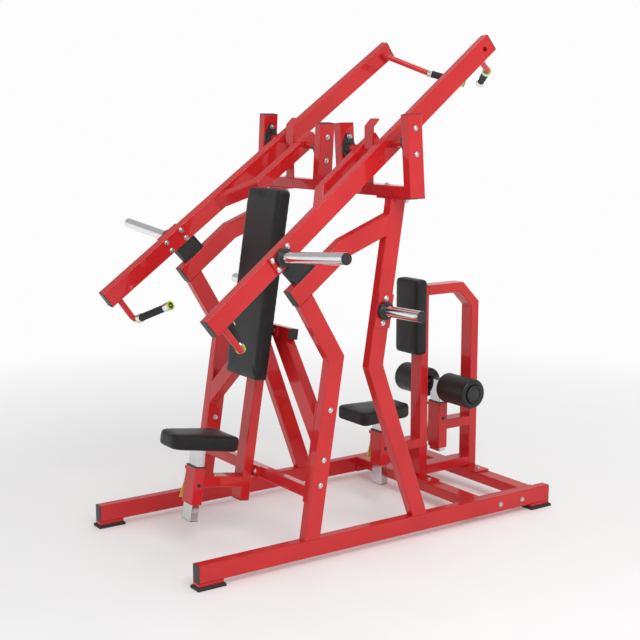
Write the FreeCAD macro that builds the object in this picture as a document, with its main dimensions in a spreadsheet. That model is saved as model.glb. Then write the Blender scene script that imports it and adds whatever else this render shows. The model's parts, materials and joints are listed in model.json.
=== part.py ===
import FreeCAD, Part
import math
import os
import re

import Sketcher
from FreeCAD import Placement, Rotation, Vector

# Dual station gym machine: a chest press at the front (-Y) and a lat pulldown at the rear (+Y) share two
# long lever arms that pivot high on the middle of the frame. +Z is up, X runs across the machine, and the
# origin is on the floor in the middle of the footprint. Millimetres and degrees.

doc = FreeCAD.newDocument("chest_press_machine")

# --------------------------------------------------------------------------------------------------
# Driving dimensions
# --------------------------------------------------------------------------------------------------
SIZES = {
    # tube stock
    "stock_across": 50, "stock_deep": 80, "stock_wall": 3, "stock_corner": 5,
    "plate_thick": 8, "cap_thick": 4,
    # base
    "side_plane": 477, "rail_half": 1000, "rail_low": 28, "rail_top": 108,
    "foot_across": 70, "foot_run": 134, "foot_overhang": 8, "foot_thick": 14, "foot_bevel": 4,
    "member_low": 58, "member_front": 508, "member_rear": 840, "tie_bolt_front": 673, "tie_bolt_rear": 816,
    "tie_bolt_rise": 66, "tie_plate_over": 5, "tie_plate_inset": 2, "riser_long": 120,
    # side frames
    "lean": 9.13, "upright_front": -473, "knee_rise": 892, "knee_bend": 30.65, "upright_top_rise": 1141,
    "bumper_tube_deep": 85, "bumper_tube_rise": 37.6, "bumper_tube_flat": 21.5, "bumper_tube_bend": -240,
    "rear_foot_lean": 19.75, "rear_knee_front": -134, "rear_knee_rise": 835,
    "beam_low": 1582, "beam_high": 50, "beam_front": -7,
    "top_plate_inner": 382, "top_plate_outer": 572, "top_bolt_inner": 407, "top_bolt_outer": 547,
    # chest press station, measured along and square to the leaning plane of the front uprights
    "low_member_rise": 183, "mid_tube_rise": 839.6, "mid_tube_half": 171, "strut_low": 427.4,
    "strut_width": 82, "end_plate_low": 163, "end_plate_high": 597, "end_bolt_depth": 42,
    "end_bolt_low": 248, "end_bolt_mid": 360, "end_bolt_high": 581,
    "post_gap": 12, "chest_post_low": 67, "chest_post_high": 1440, "mount_plate_half": 85,
    "mount_bolt": 57, "back_pad_half": 142, "back_pad_low": 636, "back_pad_high": 1505,
    "back_pad_thick": 65, "pad_round": 20, "seat_link_rise": 128,
    # seat sleeves and posts, the same at both seats
    "sleeve_half": 45, "sleeve_deep": 55, "sleeve_long": 168, "liner_flange": 6, "liner_long": 60,
    "inner_half": 40, "inner_deep": 42, "slide_gap": 0.3, "seat_post_long": 334, "seat_plate": 5,
    "liner_gap": 0.1, "seat_plate_across": 60, "seat_plate_along": 90,
    "chest_sleeve_low": 48, "chest_sleeve_front": -320, "chest_seat_rise": 307, "chest_seat_shift": -12,
    "seat_thick": 70, "seat_wide_half": 127, "seat_slim_half": 84, "seat_half": 163,
    "seat_slim_corner": 50, "seat_wide_corner": 32, "seat_edge": 14,
    # lat pulldown station
    "front_post": 540, "rear_post": 872, "post_floor": 116, "top_bar_high": 1094, "mitre_run": 106,
    "low_bar_rise": 118, "mid_bar_rise": 337, "foot_plate_half": 142, "foot_plate_over": 2, "foot_bolt": 108,
    "chest_pad_half": 92, "chest_pad_low": 753, "chest_pad_high": 1134, "chest_pad_thick": 70,
    "rear_sleeve_front": 289, "rear_sleeve_low": 212, "rear_link_low": 265, "rear_seat_rise": 448,
    "rear_seat_shift": -25,
    "roller_sleeve_front": 662, "roller_sleeve_low": 244, "roller_sleeve_long": 235,
    "roller_post_top": 598, "roller_post_low": 226, "roller_axis": 568,
    "roller_radius": 75, "roller_inner": 65, "roller_outer": 275, "roller_round": 12,
    "axle_radius": 12.5, "axle_short": 2, "core_radius": 20, "core_disc": 37.5,
    "disc_deep": 6, "disc_proud": 2,
    # lever arms, in their own frame: u along the arm, v square to it, w out along the tilted pivot axis
    "pivot_front": 33, "pivot_rise": 1772, "pivot_tilt": 5, "arm_tilt": 37.15,
    "arm_inner": 397, "arm_half_deep": 42.5, "arm_front": -1200, "arm_rear": 756,
    "brace_inner": 230, "brace_half": 31, "brace_bend": -327, "brace_rear": 65,
    "shaft_radius": 16, "running_gap": 0.05, "inner_post_face": 111, "outer_post_face": 558,
    "arm_post_deep": 80, "post_reach": 116, "outer_post_low": 1582, "outer_post_top": 1936,
    "bearing_thick": 12, "bearing_hub": 26, "bearing_bolt": 55.5, "bearing_wide": 38, "bearing_lobe": 17,
    "hub_foot": 29, "hub_tip": 25, "shaft_gap": 2,
    "guard_inner": 290, "guard_outer": 350, "guard_bend": 1888, "guard_reach": 33,
    "horn_along": -762, "horn_plate_half": 60, "horn_bolt_along": 47, "horn_bolt_across": 24,
    "horn_plate": 10, "horn_radius": 25, "horn_seat": 24.5, "horn_cap": 24.4, "horn_tip": 905,
    "collar_radius": 40, "collar_thick": 20, "collar_gap": 1, "horn_cap_round": 2,
    # rubber blocks under the resting arms, by distance along Y
    "block_low_front": -509, "block_low_rear": -418, "block_high_rear": -476, "block_high_front": -569,
    "block_rim": 7, "block_recess": 3, "rest_gap": 0.3,
    # storage horns
    "storage_along": -55, "storage_rise": 1087, "storage_tip": 766, "storage_plate_half": 76,
    "storage_plate_across": 82, "storage_bolt": 55, "storage_tilt": 1.5, "storage_sink": 4,
    # handles
    "bar_radius": 14, "bar_wall": 2.5, "grip_radius": 17.5, "grip_gap": 0.05, "ring_thick": 3,
    "ring_radius": 22.1, "ring_round": 2, "end_collar": 21.5, "near_collar": 20, "far_collar": 36,
    "press_along": -1150, "press_drop": 137.5, "press_turn": 100.8, "press_bend": 23, "press_reach": 258,
    "press_grip_start": 28, "press_fan": 60.4,
    "pull_along": 702, "pull_out": 79, "pull_turn": 60.6, "pull_arm": 223.8, "pull_return": -27.3,
    "pull_bend": 32, "pull_reach": 203, "pull_grip_start": 8, "pull_fan": 58.4,
    # release levers
    "lever_half": 19, "lever_pin": 3, "lever_knuckle": 6, "lever_axis_out": 9, "lever_hub_out": 1,
    "ear_thick": 4, "ear_gap": 0.5, "pin_proud": 2,
    "hinge_drop": 14, "ear_reach": 7, "plunger_radius": 4.5, "plunger_long": 18.5, "plunger_deep": 4,
    "plunger_hole": 7,
    "plunger_rise": 90,
    # plastic caps on tube ends
    "cap_round": 1.5, "plug_gap": 0.3, "plug_long": 14,
    # hardware: M12 hex bolts
    "bolt_radius": 6, "bolt_hole": 6.5, "hex_flats": 18, "head_high": 7.5, "nut_high": 10,
    "washer_radius": 12, "washer_thick": 2.5,
}

sheet = doc.addObject("Spreadsheet::Sheet", "Sizes")
for row, (alias, number) in enumerate(SIZES.items(), start=1):
    sheet.set(f"A{row}", alias.replace("_", " "))
    sheet.set(f"B{row}", str(number))
    sheet.setAlias(f"B{row}", alias)
doc.recompute()


def bound(text):
    """Expression text in which each bare alias points at its spreadsheet cell."""
    return re.sub(r"[a-z][a-z_0-9]*", lambda m: "Sizes." + m[0] if m[0] in SIZES else m[0], text)


def value(text):
    """Number that an expression on the spreadsheet's aliases stands for."""
    return float(sheet.evalExpression(bound(text)))


def degrees_sin(angle):
    return math.sin(math.radians(angle))


def degrees_cos(angle):
    return math.cos(math.radians(angle))


# --------------------------------------------------------------------------------------------------
# Frames of reference
# --------------------------------------------------------------------------------------------------
X, Y, Z = Vector(1, 0, 0), Vector(0, 1, 0), Vector(0, 0, 1)


def frame(origin, first, second):
    """Placement whose X and Y axes point along two square directions."""
    return Placement(origin, Rotation(first, second, first.cross(second), "ZXY"))


WORLD = Placement()
# The leaning plane of the front uprights: X across, Y square to the plane towards the rear, Z up the plane.
LEANING = Placement(Vector(0, value("upright_front"), value("rail_top")), Rotation(X, -value("lean")))


def arm_frame(side, along=0, square=0, out=0):
    """Arm frame moved to a place on the arm; its Z axis is +w on the right arm and -w on the left."""
    tilt = value("pivot_tilt")
    pitch = value("arm_tilt")
    pivot = Vector(side * degrees_cos(tilt), 0, degrees_sin(tilt))
    upward = Vector(-side * degrees_sin(tilt), 0, degrees_cos(tilt))
    length = Y * degrees_cos(pitch) + upward * degrees_sin(pitch)
    depth = Y * -degrees_sin(pitch) + upward * degrees_cos(pitch)
    centre = Vector(0, value("pivot_front"), value("pivot_rise"))
    return frame(centre + length * along + depth * square + pivot * out, length, depth)


def post_frame(side, out, along_post=0, towards=None):
    """Frame on an arm post at a distance w from the middle, X up the post.

    Z points away from the middle with towards=1 and to it with towards=-1; without it, it is +w on the
    right and -w on the left, as in the arm frame.
    """
    towards = side if towards is None else towards
    tilt = value("pivot_tilt")
    pivot = Vector(side * degrees_cos(tilt), 0, degrees_sin(tilt))
    upward = Vector(-side * degrees_sin(tilt), 0, degrees_cos(tilt))
    centre = Vector(0, value("pivot_front"), value("pivot_rise"))
    return frame(centre + pivot * out + upward * along_post, upward, Y * (-side * towards))


# --------------------------------------------------------------------------------------------------
# Ways of making a piece
# --------------------------------------------------------------------------------------------------
TO_SPACE = {
    "XY_Plane": lambda a, b: Vector(a, b, 0),
    "XZ_Plane": lambda a, b: Vector(a, 0, b),
    "YZ_Plane": lambda a, b: Vector(0, a, b),
}
NORMAL = {"XY_Plane": Z, "XZ_Plane": Y, "YZ_Plane": X}
pieces = {}
groups = {}
drillings = {}


def sketch_on(body, role, name):
    """Empty sketch on one of the body's own origin planes."""
    sketch = body.newObject("Sketcher::SketchObject", name)
    own_plane = next(item for item in body.Origin.OriginFeatures if item.Role == role)
    sketch.AttachmentSupport = [(own_plane, "")]
    sketch.MapMode = "FlatFace"
    return sketch


def draw_outline(sketch, corners):
    """Closed outline whose corners are held at expressions; returns the corners as numbers."""
    spots = [Vector(value(a), value(b), 0) for a, b in corners]
    count = len(corners)
    for index in range(count):
        sketch.addGeometry(Part.LineSegment(spots[index], spots[(index + 1) % count]))
    for index in range(count):
        sketch.addConstraint(Sketcher.Constraint("Coincident", index, 2, (index + 1) % count, 1))
    for index, (a, b) in enumerate(corners):
        for kind, text, number in (("DistanceX", a, spots[index].x), ("DistanceY", b, spots[index].y)):
            place = sketch.addConstraint(Sketcher.Constraint(kind, -1, 1, index, 1, number))
            sketch.setExpression(f"Constraints[{place}]", bound(text))
    return spots


def inset(spots, walls):
    """Corners of an outline moved inwards, each side by its own wall; a negative wall moves out."""
    count = len(spots)
    area = sum(spots[i].x * spots[(i + 1) % count].y - spots[(i + 1) % count].x * spots[i].y
               for i in range(count))
    turn = 1 if area > 0 else -1
    lines = []
    for index in range(count):
        run = (spots[(index + 1) % count] - spots[index]).normalize()
        inwards = Vector(-run.y * turn, run.x * turn, 0)
        lines.append((spots[index] + inwards * walls[index], run))
    corners = []
    for index in range(count):
        start, run = lines[index - 1]
        other, other_run = lines[index]
        cross = run.x * other_run.y - run.y * other_run.x
        gap = other - start
        corners.append(start + run * ((gap.x * other_run.y - gap.y * other_run.x) / cross))
    return corners


def edges_along(shape, role, spots, across, runs):
    """Names of the edges that follow the given runs of the outline on both side faces."""
    half = NORMAL[role] * (across / 2)
    names = []
    for number, edge in enumerate(shape.Edges, start=1):
        middle = (edge.Vertexes[0].Point + edge.Vertexes[-1].Point) * 0.5
        for index in runs:
            centre = (spots[index] + spots[(index + 1) % len(spots)]) * 0.5
            on_plane = TO_SPACE[role](centre.x, centre.y)
            if min((middle - on_plane - half).Length, (middle - on_plane + half).Length) < 0.01:
                names.append(f"Edge{number}")
    return names


def corner_edges(shape, role, spots, chosen):
    """Names of the edges that run across the outline at the chosen corners."""
    names = []
    for number, edge in enumerate(shape.Edges, start=1):
        middle = (edge.Vertexes[0].Point + edge.Vertexes[-1].Point) * 0.5
        for index in chosen:
            if (middle - TO_SPACE[role](spots[index].x, spots[index].y)).Length < 0.01:
                names.append(f"Edge{number}")
    return names


def padded(label, role, corners, across, place):
    """Body with its outline padded evenly to both sides of an own plane."""
    body = doc.addObject("PartDesign::Body", label)
    sketch = sketch_on(body, role, label + "_outline")
    spots = draw_outline(sketch, corners)
    pad = body.newObject("PartDesign::Pad", label + "_pad")
    pad.Profile = sketch
    pad.Midplane = True
    pad.setExpression("Length", bound(across))
    body.Placement = place
    doc.recompute()
    return body, pad, spots


def rounded(body, base, names, radius, suffix):
    """Fillet on the named edges of the body's latest feature."""
    fillet = body.newObject("PartDesign::Fillet", body.Label + suffix)
    fillet.Base = (base, names)
    fillet.setExpression("Radius", bound(radius))
    doc.recompute()
    return fillet


def plate(label, role, corners, across, place=WORLD):
    """Flat solid piece."""
    body, _, _ = padded(label, role, corners, across, place)
    pieces[label] = body
    return body


def tube(label, role, corners, across, ends, place=WORLD, wall="stock_wall"):
    """Rectangular tube drawn from its side: long corners rounded, hollow, and open at the end runs."""
    body, pad, spots = padded(label, role, corners, across, place)
    runs = [index for index in range(len(spots)) if index not in ends]
    names = edges_along(pad.Shape, role, spots, value(across), runs)
    rounded(body, pad, names, "stock_corner", "_corners")
    thick = value(wall)
    inner = inset(spots, [-5 if index in ends else thick for index in range(len(spots))])
    sketch = sketch_on(body, role, label + "_hollow")
    for index, spot in enumerate(inner):
        sketch.addGeometry(Part.LineSegment(spot, inner[(index + 1) % len(inner)]))
    pocket = body.newObject("PartDesign::Pocket", label + "_inside")
    pocket.Profile = sketch
    pocket.Midplane = True
    pocket.setExpression("Length", bound(f"{across} - 2 * {wall}"))
    doc.recompute()
    pieces[label] = body
    return body


def straight(label, across_low, across_high, low, high, width, place=WORLD, role="YZ_Plane",
             wall="stock_wall"):
    """Straight tube whose side view is a rectangle: it runs along the outline's second direction."""
    corners = [(across_low, low), (across_high, low), (across_high, high), (across_low, high)]
    return tube(label, role, corners, width, (0, 2), place, wall)


def moved(x=0, y=0, z=0):
    return Placement(Vector(x, y, z), Rotation())


def group(label, members):
    """Notes pieces that share one node, each staying a separate solid."""
    groups[label] = members


def make_groups():
    """Puts the noted pieces together, once their holes are cut."""
    for label, members in groups.items():
        compound = doc.addObject("Part::Compound", label)
        compound.Links = [pieces.pop(name) for name in members]
        pieces[label] = compound
    doc.recompute()


def join(label, members):
    """Welded piece made of several."""
    weld = doc.addObject("Part::MultiFuse", label)
    weld.Shapes = [pieces.pop(name) for name in members]
    doc.recompute()
    pieces[label] = weld
    return weld


def set_shape(label, shape):
    """Piece whose shape is made with Part's own functions."""
    feature = doc.addObject("Part::Feature", label)
    feature.Shape = shape
    pieces[label] = feature
    return feature


def cylinder(radius, low, high, place=WORLD):
    """Cylinder along the Z axis of a frame."""
    rod = Part.makeCylinder(radius, high - low, Vector(0, 0, low), Z)
    rod.Placement = place
    return rod


def drill(label, radius, low, high, place):
    """Notes a hole along the Z axis of a frame; all of a piece's holes are cut together at the end."""
    drillings.setdefault(label, []).append((radius, low, high, place))


def cut_holes():
    """Cuts the noted holes in every drilled piece."""
    for label, holes in drillings.items():
        blank = pieces[label]
        blank.Label = label + "_blank"
        tools = []
        for number, (radius, low, high, place) in enumerate(holes, start=1):
            tool = doc.addObject("Part::Cylinder", f"{label}_hole_{number}")
            tool.setExpression("Radius", bound(radius))
            tool.Height = high - low
            tool.Placement = place.multiply(moved(z=low))
            tools.append(tool)
        bundle = doc.addObject("Part::Compound", label + "_holes")
        bundle.Links = tools
        drilled = doc.addObject("Part::Cut", label + "_drilled")
        drilled.Base = blank
        drilled.Tool = bundle
        drilled.Label = label
        pieces[label] = drilled
    doc.recompute()


# --------------------------------------------------------------------------------------------------
# Bolted joints: washer and hex head on one side, washer and nut on the other
# --------------------------------------------------------------------------------------------------
fasteners = {"frame": [], "left_arm": [], "right_arm": []}


def hexagon(flats, low, high):
    """Hexagonal prism along Z."""
    radius = flats / math.sqrt(3)
    points = [Vector(radius * degrees_cos(60 * k), radius * degrees_sin(60 * k), low) for k in range(7)]
    return Part.Face(Part.makePolygon(points)).extrude(Z * (high - low))


def bolt_through(owner, place, grip, members):
    """Bolt whose head sits at the frame's origin on its +Z side and whose nut sits `grip` below."""
    washer = value("washer_thick")
    radius = value("bolt_radius")
    head = value("head_high")
    nut = value("nut_high")
    end = grip + washer + nut + 3
    bolt = hexagon(value("hex_flats"), washer, washer + head)
    bolt = bolt.common(Part.makeSphere(1.9 * head, Vector(0, 0, washer - 0.92 * head)))
    bolt = bolt.fuse([cylinder(value("washer_radius"), 0, washer), cylinder(radius, -end, washer)])
    ring = cylinder(value("washer_radius"), -grip - washer, -grip)
    block = hexagon(value("hex_flats"), -grip - washer - nut, -grip - washer)
    nut_piece = ring.fuse(block).cut(cylinder(radius, -end, 0))
    for solid in (bolt.removeSplitter(), nut_piece.removeSplitter()):
        solid.Placement = place
        fasteners[owner].append(solid)
    for label in members:
        drill(label, "bolt_hole", -grip - 20, 20, place)


def across_frame(side, x, y, z):
    """Frame at a point with its Z axis pointing outwards along X."""
    return frame(Vector(side * x, y, z), Y, Z * side)


SIDES = {"left": -1, "right": 1}
ENDS = {"front": -1, "rear": 1}

# --------------------------------------------------------------------------------------------------
# Base
# --------------------------------------------------------------------------------------------------
side_inner = value("side_plane - stock_across / 2")
side_outer = value("side_plane + stock_across / 2")


def base():
    """Two long rails on feet, tied at the rear by two members between bolted end plates."""
    tie_front = "member_front - tie_plate_over"
    tie_rear = "member_rear + stock_deep + tie_plate_over"
    tie_low = "rail_low + tie_plate_inset"
    riser_end = "rail_half - riser_long"
    feet = []
    risers = []
    for name, side in SIDES.items():
        straight(f"{name}_base_rail", "rail_low", "rail_top", "cap_thick - rail_half",
                 "rail_half - cap_thick", "stock_across", rail_frame(side))
        plate(f"{name}_tie_plate", "YZ_Plane",
              [(tie_front, tie_low), (tie_rear, tie_low), (tie_rear, "rail_top"), (tie_front, "rail_top")],
              "plate_thick", moved(side * (side_inner - value("plate_thick / 2"))))
        for where, end in ENDS.items():
            feet.append(rubber_foot(f"{name}_{where}_foot", side, end))
            riser = plate(f"{name}_{where}_riser", "YZ_Plane",
                          [(riser_end, "foot_thick"), ("rail_half", "foot_thick"),
                           ("rail_half", "rail_low"), (riser_end, "rail_low")],
                          "stock_across - tie_plate_inset",
                          frame(Vector(side * value("side_plane"), 0, 0), X * end, Y * end))
            risers.append(riser.Label)
        for along in ("tie_bolt_front", "tie_bolt_rear"):
            bolt_through("frame", across_frame(side, side_outer, value(along), value("tie_bolt_rise")),
                         value("stock_across + plate_thick"),
                         [f"{name}_base_rail", f"{name}_tie_plate"])
    group("rubber_feet", feet)
    group("foot_risers", risers)
    for label, start in (("front_base_member", "member_front"), ("rear_base_member", "member_rear")):
        straight(label, start, f"{start} + stock_deep", "plate_thick - side_plane + stock_across / 2",
                 "side_plane - stock_across / 2 - plate_thick", "stock_across", member_frame())
    group("base_cross_members", ["front_base_member", "rear_base_member"])


def rail_frame(side):
    """A rail's outline plane: its first direction is world Z and its second world Y."""
    return frame(Vector(side * value("side_plane"), 0, 0), X * -1, Z)


def member_frame():
    """Cross member's outline plane: first direction world Y, second world X, lying at mid height."""
    return frame(Vector(0, 0, value("member_low + stock_across / 2")), Z * -1, Y)


def rubber_foot(label, side, end):
    """Bevelled rubber block a little longer and wider than the rail."""
    tip = "rail_half + foot_overhang"
    body, pad, spots = padded(label, "YZ_Plane",
                              [(f"{tip} - foot_run", "0"), (tip, "0"),
                               (tip, "foot_thick"), (f"{tip} - foot_run", "foot_thick")],
                              "foot_across",
                              frame(Vector(side * value("side_plane"), 0, 0), X * end, Y * end))
    names = edges_along(pad.Shape, "YZ_Plane", spots, value("foot_across"), (1, 2, 3))
    names = [name for name in names if pad.Shape.getElement(name).CenterOfMass.z > value("foot_thick") - 1]
    names += corner_edges(pad.Shape, "YZ_Plane", spots, (2, 3))
    bevel = body.newObject("PartDesign::Chamfer", label + "_bevel")
    bevel.Base = (pad, names)
    bevel.setExpression("Size", bound("foot_bevel"))
    doc.recompute()
    pieces[label] = body
    return label


# --------------------------------------------------------------------------------------------------
# Side frames
# --------------------------------------------------------------------------------------------------
LEAN_RUN = "stock_deep / cos(lean)"
TOP_PLATE_LOW = "beam_low - plate_thick"


def side_frames():
    """On each rail a bent front upright, a bent rear upright and the bumper tube across their tops."""
    front_knee = "upright_front + tan(lean) * (knee_rise - rail_top)"
    # The rear corner of a bend lies on the bisector of its two runs.
    knee_half = "(lean + knee_bend) / 2"
    knee_skew = f"stock_deep / cos({knee_half})"
    knee_lift = "(knee_bend - lean) / 2"
    rear_knee = (f"{front_knee} + {knee_skew} * cos({knee_lift})",
                 f"knee_rise + {knee_skew} * sin({knee_lift})")
    for name, side in SIDES.items():
        place = moved(side * value("side_plane"))
        upper_front = f"{front_knee} - tan(knee_bend) * (upright_top_rise - knee_rise)"
        # Where the upright's rear edge meets the underside of the bumper tube.
        reach = "(stock_deep / cos(bumper_tube_rise - knee_bend))"
        tube(f"{name}_front_upright", "YZ_Plane",
             [("upright_front", "rail_top"), (front_knee, "knee_rise"), (upper_front, "upright_top_rise"),
              (f"{upper_front} + {reach} * cos(bumper_tube_rise)",
               f"upright_top_rise + {reach} * sin(bumper_tube_rise)"),
              rear_knee, (f"upright_front + {LEAN_RUN}", "rail_top")],
             "stock_across", (2, 5), place)
        tube(f"{name}_bumper_tube", "YZ_Plane", bumper_tube_corners(upper_front), "stock_across", (2, 5),
             place)
        rear_upright(name, place)
        plate(f"{name}_top_plate", "YZ_Plane",
              [("beam_front", TOP_PLATE_LOW), ("beam_front + stock_deep", TOP_PLATE_LOW),
               ("beam_front + stock_deep", "beam_low"), ("beam_front", "beam_low")],
              "top_plate_outer - top_plate_inner",
              moved(side * value("(top_plate_inner + top_plate_outer) / 2")))
        for across in ("top_bolt_inner", "top_bolt_outer"):
            bolt_through("frame", moved(side * value(across), value("beam_front + stock_deep / 2"),
                                        value("beam_low + beam_high")),
                         value("beam_high + plate_thick"), ["crossbeam", f"{name}_top_plate"])
    group("bumper_tubes", ["left_bumper_tube", "right_bumper_tube"])


def upper_line(rise):
    """Front edge of the rear upright above its knee, at a height."""
    return f"rear_knee_front + tan(lean) * (({rise}) - rear_knee_rise)"


def bumper_tube_corners(start):
    """Outline of the bent bumper tube, from its capped front end to the rear upright."""
    deep = "bumper_tube_deep"
    low_bend_rise = f"upright_top_rise + tan(bumper_tube_rise) * (bumper_tube_bend - ({start}))"
    bend_half = "(bumper_tube_rise - bumper_tube_flat) / 2"
    bend_mean = "(bumper_tube_rise + bumper_tube_flat) / 2"
    top_bend = (f"bumper_tube_bend - {deep} / cos({bend_half}) * sin({bend_mean})",
                f"{low_bend_rise} + {deep} / cos({bend_half}) * cos({bend_mean})")
    low_bend = ("bumper_tube_bend", low_bend_rise)
    top_start = (f"{start} - {deep} * sin(bumper_tube_rise)",
                 f"upright_top_rise + {deep} * cos(bumper_tube_rise)")
    # Both long edges run on at the flatter angle until they meet the leaning rear upright.
    slope = "tan(bumper_tube_flat)"
    meets = []
    for run_y, run_z in (low_bend, top_bend):
        level = (f"(({run_z}) + {slope} * (rear_knee_front - tan(lean) * rear_knee_rise - ({run_y})))"
                 f" / (1 - {slope} * tan(lean))")
        meets.append((upper_line(level), level))
    return [(start, "upright_top_rise"), low_bend, meets[0], meets[1], top_bend, top_start]


def rear_upright(name, place):
    """Bent tube from the rail's middle up to the crossbeam."""
    mean = "(rear_foot_lean - lean) / 2"
    half = "(rear_foot_lean + lean) / 2"
    skew = f"stock_deep / cos({half})"
    knee = (f"rear_knee_front + {skew} * cos({mean})", f"rear_knee_rise + {skew} * sin({mean})")
    foot_front = "rear_knee_front + tan(rear_foot_lean) * (rear_knee_rise - rail_top)"
    tube(f"{name}_rear_upright", "YZ_Plane",
         [(foot_front, "rail_top"), ("rear_knee_front", "rear_knee_rise"),
          (upper_line(TOP_PLATE_LOW), TOP_PLATE_LOW),
          (f"{upper_line(TOP_PLATE_LOW)} + {LEAN_RUN}", TOP_PLATE_LOW), knee,
          (f"{foot_front} + stock_deep / cos(rear_foot_lean)", "rail_top")],
         "stock_across", (2, 5), place)


# --------------------------------------------------------------------------------------------------
# Chest press station, built in the leaning plane
# --------------------------------------------------------------------------------------------------
INNER_REACH = "(side_plane - stock_across / 2 - plate_thick)"
ALONG_X = frame(Vector(), Z * -1, Y)
ALONG_Y = frame(Vector(), X * -1, Z)


def chest_station():
    """Cross members, struts and the post that carries the back pad and the seat."""
    for label, rise, half in (("low_cross_member", "low_member_rise", INNER_REACH),
                              ("mid_cross_tube", "mid_tube_rise", "(mid_tube_half - cap_thick)")):
        place = LEANING.multiply(moved(z=value(f"{rise} + stock_across / 2"))).multiply(ALONG_X)
        straight(label, "0", "stock_across", f"-{half}", half, "stock_across", place)
        mount = plate(f"{label}_mount", "XZ_Plane",
                      [("-mount_plate_half", f"{rise} - 1"), ("mount_plate_half", f"{rise} - 1"),
                       ("mount_plate_half", f"{rise} + stock_across + 1"),
                       ("-mount_plate_half", f"{rise} + stock_across + 1")],
                      "post_gap", LEANING.multiply(moved(y=value("-post_gap / 2"))))
        for side in SIDES.values():
            spot = Vector(side * value("mount_bolt"), value("-post_gap"), value(f"{rise} + stock_across / 2"))
            bolt_through("frame", LEANING.multiply(frame(spot, X, Z)), value("post_gap + stock_across"),
                         [mount.Label, label])
    for name, side in SIDES.items():
        strut(name, side)
    straight("chest_post", "-post_gap - stock_across", "-post_gap", "chest_post_low", "chest_post_high",
             "stock_deep", LEANING)
    pad_block("back_pad", "back_pad_half", "back_pad_low", "back_pad_high",
              "-post_gap - stock_across - back_pad_thick", "back_pad_thick", LEANING)


def strut(name, side):
    """Sloping tube at 45 degrees from the end plate on an upright up to the mid cross tube."""
    wide = "(strut_width * sqrt(2))"
    reach = INNER_REACH
    tube(f"{name}_strut", "XZ_Plane",
         [(f"{side} * {reach}", "strut_low"), (f"{side} * {reach}", f"strut_low + {wide}"),
          (f"{side} * ({reach} - (mid_tube_rise - strut_low - {wide}))", "mid_tube_rise"),
          (f"{side} * ({reach} - (mid_tube_rise - strut_low))", "mid_tube_rise")],
         "stock_across", (0, 2), LEANING.multiply(moved(y=value("stock_across / 2"))))
    plate(f"{name}_end_plate", "YZ_Plane",
          [("0", "end_plate_low"), ("stock_deep", "end_plate_low"),
           ("stock_deep", "end_plate_high"), ("0", "end_plate_high")],
          "plate_thick", LEANING.multiply(moved(side * value(INNER_REACH + " + plate_thick / 2"))))
    for rise in ("end_bolt_low", "end_bolt_mid", "end_bolt_high"):
        spot = Vector(side * side_outer, value("end_bolt_depth"), value(rise))
        bolt_through("frame", LEANING.multiply(frame(spot, Y, Z * side)), value("stock_across + plate_thick"),
                     [f"{name}_front_upright", f"{name}_end_plate"])


def pad_block(label, half, low, high, front, thick, place):
    """Upholstered pad as a plain block with rounded edges, upright in its frame."""
    body, pad, spots = padded(label, "XZ_Plane",
                              [(f"-{half}", low), (half, low), (half, high), (f"-{half}", high)],
                              thick, place.multiply(moved(y=value(f"{front} + {thick} / 2"))))
    uprights = corner_edges(pad.Shape, "XZ_Plane", spots, range(4))
    corners = rounded(body, pad, uprights, "pad_round", "_corners")
    faces = [f"Face{number}" for number, face in enumerate(corners.Shape.Faces, start=1)
             if abs(abs(face.CenterOfMass.y) - value(thick) / 2) < 0.01]
    rounded(body, corners, faces, "pad_round * 0.8", "_edges")
    pieces[label] = body


# --------------------------------------------------------------------------------------------------
# Sliding posts: sleeve with a link, plastic liner, chrome post and sprung release lever
# --------------------------------------------------------------------------------------------------
def box(x_low, x_high, y_low, y_high, z_low, z_high):
    return Part.makeBox(x_high - x_low, y_high - y_low, z_high - z_low, Vector(x_low, y_low, z_low))


def sleeve(prefix, place, front, low, long):
    """Sleeve tube with the ears and hinge pin of its release lever on the -X side."""
    straight(f"{prefix}_sleeve", front, f"{front} + sleeve_deep", low, f"{low} + {long}",
             "2 * sleeve_half", place)
    side = sleeve_side(place, front, low)
    pivot = Vector(value("lever_axis_out"), 0, value(f"{long} - hinge_drop"))
    beyond = value("ear_reach")
    ears = []
    for sign in (-1, 1):
        near = sign * value("lever_half + ear_gap")
        far = sign * value("lever_half + ear_gap + ear_thick")
        ears.append(box(0, pivot.x + beyond, min(near, far), max(near, far),
                        pivot.z - beyond, pivot.z + beyond))
    reach = value("lever_half + ear_thick + pin_proud")
    pin = Part.makeCylinder(value("lever_pin"), 2 * reach, pivot - Y * reach, Y)
    shape = ears[0].fuse([ears[1], pin])
    shape.Placement = side
    set_shape(f"{prefix}_ears", shape)
    plunger = side.multiply(frame(Vector(0, 0, value("plunger_rise")), Y, Z))
    drill(f"{prefix}_bracket", "plunger_hole", -value("plunger_deep") * 2, value("plunger_deep") * 2, plunger)
    liner(prefix, place, front, value(f"{low} + {long}"))
    release_lever(prefix, side, pivot)


def sleeve_side(place, front, low):
    """Frame on the sleeve's -X face: X outwards, Z up the sleeve, origin at the sleeve's lower end."""
    spot = Vector(-value("sleeve_half"), value(f"{front} + sleeve_deep / 2"), value(low))
    return place.multiply(frame(spot, X * -1, Y * -1))


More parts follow.
